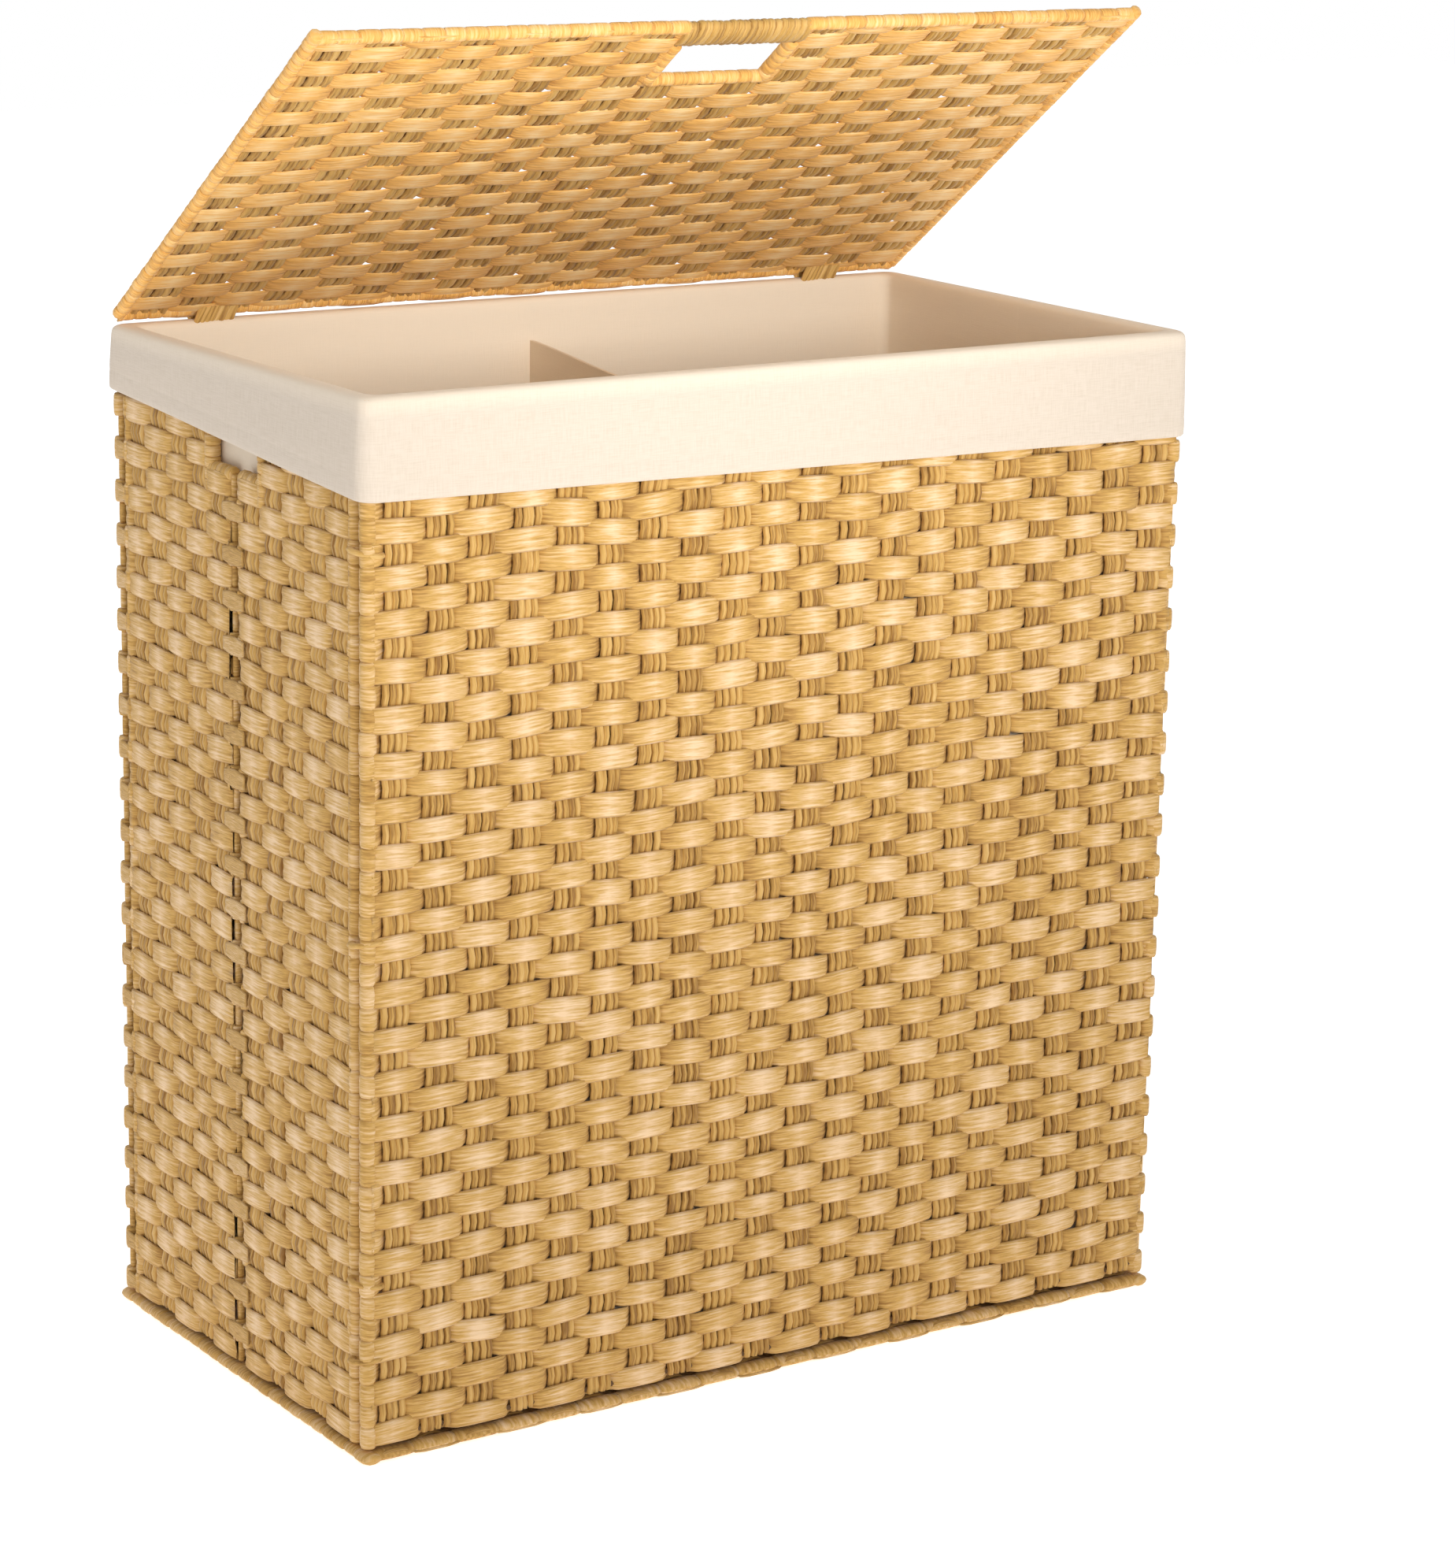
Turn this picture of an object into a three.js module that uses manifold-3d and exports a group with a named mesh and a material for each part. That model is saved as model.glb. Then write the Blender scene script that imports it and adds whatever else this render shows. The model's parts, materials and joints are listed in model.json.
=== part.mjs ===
// A tall woven laundry basket with a cloth liner, a divider and a hinged lid.
// Millimetres, +Z up, +Y towards the back. The origin is the middle of the base's underside.
// Four woven walls stand on a base mat. The front and back walls are whole, and each side wall is
// two halves, so that the sides fold inwards and the front wall comes back against the back wall.
import * as THREE from "three";
import { mergeVertices } from "three/addons/utils/BufferGeometryUtils.js";
import Module from "manifold-3d";

// ---- driving sizes ----
const width = 558.8; // over the cuffs, along X
const depth = 304.8; // over the cuffs, along Y
const height = 609.6; // with the lid shut
const wallThickness = 10;
const lidThickness = 10;
const baseThickness = 7;
const clothThickness = 1.1;
const restGap = 0.3; // between pieces that lie on each other
const sweepGap = 0.4; // between the walls' lower edges and the liner's floor
const lidGap = 0.8; // between the shut lid and the cuff
const hingeGap = 1.8; // from a wall's face to the fold line beside it
const creaseGap = 0.3; // from the middle crease to the edge of each side half
const lidOpenAngle = 36.5; // degrees above shut, as the lid stands at rest

const rodRadius = 2; // steel wire of every frame
const slotClearance = 0.3; // round a rod in its slot
const rodInset = 5; // from a panel's edge to the middle of its edge rod
const baseRodDepth = 2.6; // from the base's top to the middle of its rod
const bendRadius = 9; // of the wire at a corner
const buttGap = 1; // where the two ends of a wire meet

const handHoleWidth = 54; // in each side wall
const handHoleHeight = 45;
const handHoleDrop = 64; // from the cuff's top to the hole's lower edge
const lidHoleWidth = 70;
const lidHoleDepth = 35;
const lidHoleInset = 21; // from the lid's free edge
const postInset = 4.5; // from a hole's edge to the middle of the rod beside it
const postOverlap = 8; // how far a rod runs past the hole it stiffens

const cuffDrop = { frontLeft: 55, frontRight: 62, backLeft: 36, backRight: 32 };
const dividerDrop = 26; // from the cuff's top to the divider's hem
const dividerThickness = 2.2; // two layers of cloth
const dividerGap = 0.5; // from the divider to the liner round it

const bandWidth = 26; // twine bands that hinge the lid
const bandThickness = 1.6;
const bandOffset = 215; // from the middle of the back wall
const bandClearance = 0.6; // between a band and the notch it lies in

// ---- sizes that follow ----
const coverThickness = restGap + clothThickness; // a wall's face to the cloth's far side
const sideFace = width / 2 - coverThickness; // outer face of the side walls
const frontFace = depth / 2 - coverThickness; // outer face of the front and back walls
const floorTop = baseThickness + restGap + clothThickness;
const wallBottom = floorTop + sweepGap;
const lidUnderside = height - lidThickness;
const cuffTop = lidUnderside - lidGap;
const wallTop = cuffTop - coverThickness;
const rimRodHeight = wallTop - rodInset;
const hingeY = frontFace - wallThickness / 2; // lid's hinge rod, over the back wall's top rod
const hingeZ = lidUnderside + lidThickness / 2;
const sideHalfLength = frontFace - wallThickness - hingeGap; // crease to corner fold line
const handHoleBottom = cuffTop - handHoleDrop;
const slotHalfWidth = rodRadius + slotClearance;

const materials = {
  weave: new THREE.MeshStandardMaterial({ color: 0xd6aa64, roughness: 0.75, metalness: 0 }),
  wire: new THREE.MeshStandardMaterial({ color: 0x6b655c, roughness: 0.45, metalness: 0.8 }),
  linen: new THREE.MeshStandardMaterial({ color: 0xf1e6d4, roughness: 0.9, metalness: 0 }),
  twine: new THREE.MeshStandardMaterial({ color: 0xc99a52, roughness: 0.8, metalness: 0 }),
};

// ---- solids ----
const wasm = await Module();
wasm.setup();

function toSolid(geometry) {
  const plain = geometry.index ? geometry.toNonIndexed() : geometry.clone();
  plain.deleteAttribute("normal");
  plain.deleteAttribute("uv");
  const merged = mergeVertices(plain, 1e-4);
  const mesh = new wasm.Mesh({
    numProp: 3,
    vertProperties: merged.attributes.position.array,
    triVerts: new Uint32Array(merged.index.array),
  });
  return new wasm.Manifold(mesh);
}

function toGeometry(solid) {
  const mesh = solid.getMesh();
  const geometry = new THREE.BufferGeometry();
  geometry.setAttribute("position", new THREE.BufferAttribute(mesh.vertProperties, 3));
  geometry.setIndex(new THREE.BufferAttribute(mesh.triVerts, 1));
  geometry.computeVertexNormals();
  return geometry;
}

function cut(geometry, cutters) {
  const solid = cutters.reduce((rest, cutter) => rest.subtract(toSolid(cutter)), toSolid(geometry));
  return toGeometry(solid);
}

function join(geometries) {
  const solid = geometries.map(toSolid).reduce((sum, next) => sum.add(next));
  return toGeometry(solid);
}

function box(x0, x1, y0, y1, z0, z1) {
  const geometry = new THREE.BoxGeometry(x1 - x0, y1 - y0, z1 - z0);
  geometry.translate((x0 + x1) / 2, (y0 + y1) / 2, (z0 + z1) / 2);
  return geometry;
}

// ---- bent wire ----
// A path that visits its points one by one, so that each bend keeps its own short arc.
class WirePath extends THREE.Curve {
  constructor(points) {
    super();
    this.points = points;
  }

  getPoint(t, target = new THREE.Vector3()) {
    const place = t * (this.points.length - 1);
    const before = Math.min(Math.floor(place), this.points.length - 2);
    return target.lerpVectors(this.points[before], this.points[before + 1], place - before);
  }

  getPointAt(t, target) {
    return this.getPoint(t, target);
  }

  getTangentAt(t, target = new THREE.Vector3()) {
    const last = this.points.length - 1;
    const here = Math.round(t * last);
    const into = new THREE.Vector3();
    const out = new THREE.Vector3();
    into.subVectors(this.points[Math.max(here, 1)], this.points[Math.max(here, 1) - 1]);
    out.subVectors(this.points[Math.min(here, last - 1) + 1], this.points[Math.min(here, last - 1)]);
    return target.addVectors(into.normalize(), out.normalize()).normalize();
  }
}

// Corner points in the panel's plane become a path whose corners are rounded.
function roundedPath(corners, level) {
  const arcSteps = 4;
  const points = [];
  corners.forEach(([x, y], i) => {
    if (i === 0 || i === corners.length - 1) {
      points.push(new THREE.Vector3(x, y, level));
      return;
    }
    const corner = new THREE.Vector2(x, y);
    const back = new THREE.Vector2(...corners[i - 1]).sub(corner).setLength(bendRadius);
    const ahead = new THREE.Vector2(...corners[i + 1]).sub(corner).setLength(bendRadius);
    const centre = corner.clone().add(back).add(ahead);
    for (let step = 0; step <= arcSteps; step += 1) {
      const turn = (step / arcSteps) * (Math.PI / 2);
      const x1 = centre.x - ahead.x * Math.cos(turn) - back.x * Math.sin(turn);
      const y1 = centre.y - ahead.y * Math.cos(turn) - back.y * Math.sin(turn);
      points.push(new THREE.Vector3(x1, y1, level));
    }
  });
  return new WirePath(points);
}

function rod(path) {
  const sides = 8;
  const ring = [];
  for (let i = 0; i < sides; i += 1) {
    const angle = (i / sides) * 2 * Math.PI;
    ring.push(new THREE.Vector2(rodRadius * Math.cos(angle), rodRadius * Math.sin(angle)));
  }
  const steps = path.points.length - 1;
  return new THREE.ExtrudeGeometry(new THREE.Shape(ring), { steps, extrudePath: path });
}

// ---- flat panels ----
// Each panel is made lying down: x along its length, y along its height or depth, and z from its
// inner face at 0 to its outer face. Rods lie in slots that are open on the inner face.
function slot(x0, x1, y0, y1, rodDepth) {
  const margin = 1; // past the face, so that the slot is open
  const grow = slotHalfWidth;
  return box(x0 - grow, x1 + grow, y0 - grow, y1 + grow, -margin, rodDepth + grow);
}

// Slots for a wire through these corners, with room inside each bend.
function wireSlots(corners, rodDepth) {
  const slots = [];
  for (let i = 0; i + 1 < corners.length; i += 1) {
    const [[xa, ya], [xb, yb]] = [corners[i], corners[i + 1]];
    slots.push(
      slot(Math.min(xa, xb), Math.max(xa, xb), Math.min(ya, yb), Math.max(ya, yb), rodDepth),
    );
  }
  for (let i = 1; i + 1 < corners.length; i += 1) {
    const [x, y] = corners[i];
    const [xm, ym] = [corners[i - 1][0] + corners[i + 1][0], corners[i - 1][1] + corners[i + 1][1]];
    const inX = x + Math.sign(xm - 2 * x) * bendRadius;
    const inY = y + Math.sign(ym - 2 * y) * bendRadius;
    slots.push(slot(Math.min(x, inX), Math.max(x, inX), Math.min(y, inY), Math.max(y, inY), rodDepth));
  }
  return slots;
}

// Corners of a closed frame: it starts and ends at the middle of one long side.
function ringCorners(x0, x1, y0, y1) {
  const middle = (x0 + x1) / 2;
  return [
    [middle + buttGap / 2, y0],
    [x1, y0],
    [x1, y1],
    [x0, y1],
    [x0, y0],
    [middle - buttGap / 2, y0],
  ];
}

function wholePanel(x0, x1, y0, y1, thickness, rodDepth) {
  const corners = ringCorners(x0 + rodInset, x1 - rodInset, y0 + rodInset, y1 - rodInset);
  return {
    slab: box(x0, x1, y0, y1, 0, thickness),
    slots: wireSlots(corners, rodDepth),
    wire: rod(roundedPath(corners, rodDepth)),
  };
}

// ---- scene graph ----
const basket = new THREE.Group();

function addMesh(parent, name, geometry, material) {
  const mesh = new THREE.Mesh(geometry, material);
  mesh.name = name;
  parent.add(mesh);
  return mesh;
}

// Stands a lying panel up on one side of the basket: turn 0 is the front, 180 the back.
function wallPlace(turn, face) {
  const side = new THREE.Group();
  side.rotation.z = THREE.MathUtils.degToRad(turn);
  const upright = new THREE.Group();
  upright.rotation.x = Math.PI / 2;
  upright.position.y = -(face - wallThickness);
  side.add(upright);
  basket.add(side);
  return upright;
}

// ---- base ----
function addBase() {
  const panel = wholePanel(
    -width / 2, width / 2, -depth / 2, depth / 2, baseThickness, baseRodDepth,
  );
  const place = new THREE.Group();
  place.rotation.x = Math.PI;
  place.position.z = baseThickness;
  basket.add(place);
  addMesh(place, "base_mat", cut(panel.slab, panel.slots), materials.weave);
  addMesh(place, "base_wire", panel.wire, materials.wire);
}

// ---- front and back walls ----
const bandNotchHalf = bandWidth / 2 + bandClearance;
const bandReach = rodRadius + slotClearance + bandThickness; // rod's middle to the band's outside

function bandNotches(bottom, zLow, zHigh) {
  const past = 1;
  return [-bandOffset, bandOffset].map((x) =>
    box(x - bandNotchHalf, x + bandNotchHalf, bottom, cuffTop + past, zLow, zHigh),
  );
}

function addWholeWall(name, turn, notched) {
  const panel = wholePanel(
    -sideFace, sideFace, wallBottom, wallTop, wallThickness, wallThickness / 2,
  );
  const notches = notched
    ? bandNotches(rimRodHeight - bandReach - bandClearance, -1, wallThickness + 1)
    : [];
  const place = wallPlace(turn, frontFace);
  addMesh(place, name + "_weave", cut(panel.slab, [...panel.slots, ...notches]), materials.weave);
  addMesh(place, name + "_wire", panel.wire, materials.wire);
  return place;
}

// ---- side halves ----
// direction is 1 or -1: the way along the lying panel from the crease to the corner.
function addSideHalf(place, name, direction) {
  const span = (a, b) => [Math.min(a * direction, b * direction), Math.max(a * direction, b * direction)];
  const [x0, x1] = span(creaseGap, sideHalfLength);
  const slab = box(x0, x1, wallBottom, wallTop, 0, wallThickness);
  const nearCrease = (creaseGap + rodInset) * direction;
  const corner = (sideHalfLength - rodInset) * direction;
  const corners = [
    [nearCrease, rimRodHeight],
    [corner, rimRodHeight],
    [corner, wallBottom + rodInset],
    [nearCrease, wallBottom + rodInset],
  ];
  const rodDepth = wallThickness / 2;
  const postX = (handHoleWidth / 2 + postInset) * direction;
  const postBottom = handHoleBottom - postOverlap;
  const postTop = rimRodHeight - 2 * slotHalfWidth;
  const past = 1;
  const [holeLow, holeHigh] = span(-past, handHoleWidth / 2);
  const hole = box(
    holeLow, holeHigh, handHoleBottom, handHoleBottom + handHoleHeight, -past, wallThickness + past,
  );
  const cutters = [
    ...wireSlots(corners, rodDepth),
    slot(postX, postX, postBottom, postTop, rodDepth),
    hole,
  ];
  addMesh(place, name + "_weave", cut(slab, cutters), materials.weave);
  addMesh(place, name + "_wire", rod(roundedPath(corners, rodDepth)), materials.wire);
  const post = rod(roundedPath([[postX, postBottom], [postX, postTop]], rodDepth));
  addMesh(place, name + "_post", post, materials.wire);
}

// ---- liner ----
// The cloth on one wall: down the inside, over the rim and down outside as the cuff.
function linerPanel({ inner, rim, flap, hems, notches }) {
  const insideFace = -coverThickness;
  const outsideFace = wallThickness + coverThickness;
  const hem = new THREE.Shape([
    new THREE.Vector2(flap[0], cuffTop - hems[0]),
    new THREE.Vector2(flap[1], cuffTop - hems[1]),
    new THREE.Vector2(flap[1], cuffTop),
    new THREE.Vector2(flap[0], cuffTop),
  ]);
  const cuff = new THREE.ExtrudeGeometry(hem, { depth: clothThickness, bevelEnabled: false });
  cuff.translate(0, 0, wallThickness + restGap);
  const cloth = join([
    box(inner[0], inner[1], wallBottom, cuffTop, insideFace, insideFace + clothThickness),
    box(rim[0], rim[1], cuffTop - clothThickness, cuffTop, insideFace, outsideFace),
    cuff,
  ]);
  return notches.length ? cut(cloth, notches) : cloth;
}

function addWholeWallLiner(place, name, hems, notched) {
  const innerEdge = sideFace - wallThickness - restGap;
  const past = 1;
  const geometry = linerPanel({
    inner: [-innerEdge, innerEdge],
    rim: [-sideFace, sideFace],
    flap: [-width / 2, width / 2],
    hems,
    notches: notched
      ? bandNotches(rimRodHeight - bandReach - bandClearance, -coverThickness - past, wallThickness)
      : [],
  });
  addMesh(place, name, geometry, materials.linen);
}

// hemAtCorner and hemAtCrease are the cuff's drop at the two ends of the half.
function addSideHalfLiner(place, name, direction, hemAtCorner, hemAtCrease) {
  const order = (near, far) => (direction > 0 ? [near, far] : [-far, -near]);
  const geometry = linerPanel({
    inner: order(creaseGap, sideHalfLength),
    rim: order(creaseGap, sideHalfLength),
    flap: order(creaseGap, frontFace),
    hems: direction > 0 ? [hemAtCrease, hemAtCorner] : [hemAtCorner, hemAtCrease],
    notches: [],
  });
  addMesh(place, name, geometry, materials.linen);
}

function addFloorAndDivider() {
  const innerX = sideFace - wallThickness - coverThickness;
  const innerY = frontFace - wallThickness - coverThickness;
  const clothLow = baseThickness + restGap;
  addMesh(
    basket, "liner_floor", box(-innerX, innerX, -innerY, innerY, clothLow, floorTop), materials.linen,
  );
  const reach = innerY - dividerGap;
  addMesh(
    basket,
    "liner_divider",
    box(
      -dividerThickness / 2, dividerThickness / 2, -reach, reach, wallBottom, cuffTop - dividerDrop,
    ),
    materials.linen,
  );
}

// ---- lid ----
// The lid is made round its hinge rod: y runs from the hinge, at 0, to the free edge.
function addLid() {
  const half = lidThickness / 2;
  const reach = hingeY + depth / 2;
  const freeRod = reach - rodInset;
  const sideRod = width / 2 - rodInset;
  const past = 1;
  // A box with a half-round edge along the hinge.
  const outline = new THREE.Shape();
  outline.moveTo(reach, -half);
  outline.lineTo(reach, half);
  outline.lineTo(0, half);
  outline.absarc(0, 0, half, Math.PI / 2, (3 * Math.PI) / 2, false);
  outline.closePath();
  const slab = new THREE.ExtrudeGeometry(outline, {
    depth: width,
    bevelEnabled: false,
    curveSegments: 8,
  });
  // Outline x becomes -Y, so that the lid runs forwards, outline y stays up, and depth becomes X.
  const toLid = new THREE.Matrix4().makeBasis(
    new THREE.Vector3(0, -1, 0), new THREE.Vector3(0, 0, 1), new THREE.Vector3(-1, 0, 0),
  );
  slab.applyMatrix4(toLid);
  slab.translate(width / 2, 0, 0);

  // Slots are open below, as on every panel; their floor lies past the rod's middle, at height 0.
  const corners = ringCorners(-sideRod, sideRod, 0, -freeRod);
  const slots = wireSlots(corners, half);
  slots.forEach((geometry) => geometry.translate(0, 0, -half));
  const wire = rod(roundedPath(corners, 0));

  const holeFront = -(reach - lidHoleInset);
  const holeBack = holeFront + lidHoleDepth;
  const hole = box(
    -lidHoleWidth / 2, lidHoleWidth / 2, holeFront, holeBack, -half - past, half + past,
  );
  const postX = lidHoleWidth / 2 + postInset;
  const postFront = -freeRod + 2 * slotHalfWidth;
  const postBack = holeBack + postOverlap;
  const posts = [-postX, postX].map((x) => rod(roundedPath([[x, postFront], [x, postBack]], 0)));
  const postSlots = [-postX, postX].map((x) => slot(x, x, postFront, postBack, half));
  postSlots.forEach((geometry) => geometry.translate(0, 0, -half));

  const notchFront = -(bandReach + bandClearance);
  const notches = [-bandOffset, bandOffset].map((x) =>
    box(x - bandNotchHalf, x + bandNotchHalf, notchFront, half + past, -half - past, half + past),
  );

  const lid = new THREE.Group();
  lid.position.set(0, hingeY, hingeZ);
  lid.rotation.x = -THREE.MathUtils.degToRad(lidOpenAngle);
  basket.add(lid);
  const woven = cut(slab, [...slots, ...postSlots, hole, ...notches]);
  addMesh(lid, "lid_weave", woven, materials.weave);
  addMesh(lid, "lid_wire", wire, materials.wire);
  addMesh(lid, "lid_post_left", posts[0], materials.wire);
  addMesh(lid, "lid_post_right", posts[1], materials.wire);
}

// ---- hinge bands ----
// A flat loop of twine round the lid's hinge rod and the back wall's top rod.
function addHingeBand(name, x) {
  const loop = (radius) => {
    const path = new THREE.Shape();
    path.absarc(0, 0, radius, 0, Math.PI, false);
    path.absarc(0, rimRodHeight - hingeZ, radius, Math.PI, 2 * Math.PI, false);
    path.closePath();
    return path;
  };
  const shape = loop(bandReach);
  shape.holes.push(loop(rodRadius + slotClearance));
  const band = new THREE.ExtrudeGeometry(shape, {
    depth: bandWidth,
    bevelEnabled: false,
    curveSegments: 8,
  });
  const toSide = new THREE.Matrix4().makeBasis(
    new THREE.Vector3(0, 1, 0), new THREE.Vector3(0, 0, 1), new THREE.Vector3(1, 0, 0),
  );
  band.applyMatrix4(toSide);
  band.translate(x - bandWidth / 2, hingeY, hingeZ);
  addMesh(basket, name, band, materials.twine);
}

// ---- the basket ----
addBase();
addFloorAndDivider();

const frontPlace = addWholeWall("front_wall", 0, false);
addWholeWallLiner(frontPlace, "liner_front", [cuffDrop.frontLeft, cuffDrop.frontRight], false);
const backPlace = addWholeWall("back_wall", 180, true);
addWholeWallLiner(backPlace, "liner_back", [cuffDrop.backRight, cuffDrop.backLeft], true);

// On the left the lying panel's +x points forwards, and on the right it points backwards.
const sides = [
  { side: "left", turn: -90, frontWay: 1, front: cuffDrop.frontLeft, back: cuffDrop.backLeft },
  { side: "right", turn: 90, frontWay: -1, front: cuffDrop.frontRight, back: cuffDrop.backRight },
];
for (const { side, turn, frontWay, front, back } of sides) {
  const place = wallPlace(turn, sideFace);
  const middle = (front + back) / 2;
  addSideHalf(place, side + "_front", frontWay);
  addSideHalf(place, side + "_rear", -frontWay);
  addSideHalfLiner(place, "liner_" + side + "_front", frontWay, front, middle);
  addSideHalfLiner(place, "liner_" + side + "_rear", -frontWay, back, middle);
}

addLid();
addHingeBand("hinge_band_left", -bandOffset);
addHingeBand("hinge_band_right", bandOffset);

export default basket;
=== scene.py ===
# %% [markdown]
# # A woven laundry basket
# The basket is a tall box of woven paper straw on a hidden wire frame. It has a hinged lid, a cloth
# liner whose cuff is turned down over the rim, and a cloth divider. The CAD frame gives every size
# and every place, and this lesson makes the looks round it: the weave, the cloth and the twine.
# Everything is in metres, +Z up, with the front of the basket towards -Y.

# %% Load the frame
import json
import math

import bpy
import numpy as np
from mathutils import Euler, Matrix, Quaternion, Vector, noise


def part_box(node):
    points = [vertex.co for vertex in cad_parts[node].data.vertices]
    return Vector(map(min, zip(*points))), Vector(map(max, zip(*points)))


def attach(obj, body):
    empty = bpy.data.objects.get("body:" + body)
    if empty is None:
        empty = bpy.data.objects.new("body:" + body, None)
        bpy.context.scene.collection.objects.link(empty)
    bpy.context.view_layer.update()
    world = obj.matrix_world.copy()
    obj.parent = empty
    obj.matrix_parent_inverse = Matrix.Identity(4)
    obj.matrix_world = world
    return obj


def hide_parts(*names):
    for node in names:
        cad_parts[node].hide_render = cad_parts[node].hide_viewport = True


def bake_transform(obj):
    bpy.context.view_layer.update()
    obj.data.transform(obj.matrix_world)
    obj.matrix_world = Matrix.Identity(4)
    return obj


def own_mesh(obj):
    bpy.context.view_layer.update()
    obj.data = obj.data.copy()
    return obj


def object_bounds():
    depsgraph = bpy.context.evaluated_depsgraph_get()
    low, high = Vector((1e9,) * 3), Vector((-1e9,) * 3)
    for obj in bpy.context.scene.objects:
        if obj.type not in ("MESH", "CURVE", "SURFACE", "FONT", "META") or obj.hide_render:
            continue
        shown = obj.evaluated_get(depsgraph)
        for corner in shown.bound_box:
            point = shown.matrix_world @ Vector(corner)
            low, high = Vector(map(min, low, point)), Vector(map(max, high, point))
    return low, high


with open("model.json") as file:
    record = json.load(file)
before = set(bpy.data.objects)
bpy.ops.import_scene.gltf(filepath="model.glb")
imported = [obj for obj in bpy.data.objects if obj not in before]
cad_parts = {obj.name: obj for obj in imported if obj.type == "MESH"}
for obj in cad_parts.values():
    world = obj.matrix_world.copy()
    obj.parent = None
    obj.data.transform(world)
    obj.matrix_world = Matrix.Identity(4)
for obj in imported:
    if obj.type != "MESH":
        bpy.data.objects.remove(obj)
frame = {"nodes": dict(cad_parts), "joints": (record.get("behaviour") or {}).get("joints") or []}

MM = 0.001
cad_low, cad_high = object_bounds()
print("CAD box in mm:", [round(x / MM) for x in (*cad_low, *cad_high)])

# %% [markdown]
# ## Camera, light and floor
# A long lens from the front left, a little above the basket, keeps the uprights almost parallel.
# The place and the two turns of the camera could be found by dragging it, but three numbers for the
# place and three for the turns are easier to repeat. The light is a big soft panel in front on the
# left, a narrow one that reaches under the lid, and an even surrounding. The floor glows a little,
# as a lit product table does, so it stays pale, has no hard shadow and lights the walls from below.

# %% Camera
CAMERA_PLACE = (-1.367, -2.112, 0.961)
CAMERA_YAW = 34.0  # degrees to the right of straight ahead
CAMERA_PITCH = 14.2  # degrees down
CAMERA_ROLL = 1.2
LENS_MM = 99.3

bpy.ops.object.camera_add(location=CAMERA_PLACE)
camera = bpy.context.active_object
camera.data.lens = LENS_MM
aim = Euler((math.radians(90 - CAMERA_PITCH), 0, math.radians(-CAMERA_YAW)))
roll = Quaternion((0, 0, 1), math.radians(CAMERA_ROLL))
camera.rotation_mode = "QUATERNION"
camera.rotation_quaternion = aim.to_quaternion() @ roll
bpy.context.scene.camera = camera
print("camera at", [round(x, 2) for x in camera.location])

# %% Light and floor
BASKET_MIDDLE = (0, 0, 0.35)
KEY_PLACE = (-1.35, -2.6, 1.5)
KEY_SIZE = 1.6
KEY_POWER = 7.5
LID_MIDDLE = (0, 0.05, 0.74)
LID_LIGHT_PLACE = (-0.3, -1.9, 1.0)
LID_LIGHT_SIZE = 0.5
LID_LIGHT_POWER = 1.4
LID_LIGHT_SPREAD = 40  # degrees
LIGHT_COLOUR = (1, 0.98, 0.95)
ROOM_LIGHT = 0.58
FLOOR_SIZE = 14
FLOOR_COLOUR = (0.9, 0.9, 0.9, 1)
FLOOR_GLOW = 0.68
WHITE = (1, 1, 1, 1)


def add_panel_light(name, place, aim, size, power, spread=180):
    """A square of light at a place, turned to an aim; a small spread keeps it to a beam."""
    bpy.ops.object.light_add(type="AREA", location=place)
    light = bpy.context.active_object
    light.name = name
    light.data.size = size
    light.data.energy = power
    light.data.color = LIGHT_COLOUR
    light.data.spread = math.radians(spread)
    ahead = Vector(aim) - light.location
    light.rotation_euler = ahead.to_track_quat("-Z", "Y").to_euler()


def add_room(strength):
    """A surrounding that is seen white, and lights every side with its strength."""
    world = bpy.data.worlds.new("studio")
    world.use_nodes = True
    tree = world.node_tree
    background = tree.nodes["Background"]
    background.inputs["Color"].default_value = WHITE
    seen = tree.nodes.new("ShaderNodeLightPath")
    level = tree.nodes.new("ShaderNodeMapRange")
    level.inputs["To Min"].default_value = strength
    tree.links.new(seen.outputs["Is Camera Ray"], level.inputs["Value"])
    tree.links.new(level.outputs[0], background.inputs["Strength"])
    bpy.context.scene.world = world


def new_material(name, levels):
    """A material whose Principled BSDF has these sockets set: the material, its tree, the shader."""
    material = bpy.data.materials.new(name)
    material.use_nodes = True
    shader = material.node_tree.nodes["Principled BSDF"]
    for socket, level in levels.items():
        shader.inputs[socket].default_value = level
    return material, material.node_tree, shader


def add_floor():
    """A pale floor that is no part of the object."""
    bpy.ops.mesh.primitive_plane_add(size=FLOOR_SIZE, location=(0, 0, 0))
    floor = bpy.context.active_object
    floor.name = "floor"
    pale, _, _ = new_material("pale floor", {
        "Base Color": FLOOR_COLOUR,
        "Roughness": 0.9,
        "Specular IOR Level": 0,
        "Emission Color": WHITE,
        "Emission Strength": FLOOR_GLOW,
    })
    floor.data.materials.append(pale)


add_panel_light("key light", KEY_PLACE, BASKET_MIDDLE, KEY_SIZE, KEY_POWER)
add_panel_light(
    "lid light", LID_LIGHT_PLACE, LID_MIDDLE, LID_LIGHT_SIZE, LID_LIGHT_POWER, LID_LIGHT_SPREAD,
)
add_room(ROOM_LIGHT)
add_floor()
bpy.context.scene.view_settings.view_transform = "Standard"
print("lights and floor are in place")

# %% [markdown]
# ## Shared helpers
# Operators act on all that is selected, and loading the frame left its parts selected, so every
# step first selects one piece alone. Modifiers are added and applied at once, so that the mesh is
# final before the next step measures or moves its points.

# %% Helpers for operators and modifiers
def select_only(*pieces):
    """Selects these pieces and nothing else; the first is the active one."""
    bpy.ops.object.select_all(action="DESELECT")
    for piece in pieces:
        piece.select_set(True)
    bpy.context.view_layer.objects.active = pieces[0]


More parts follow.
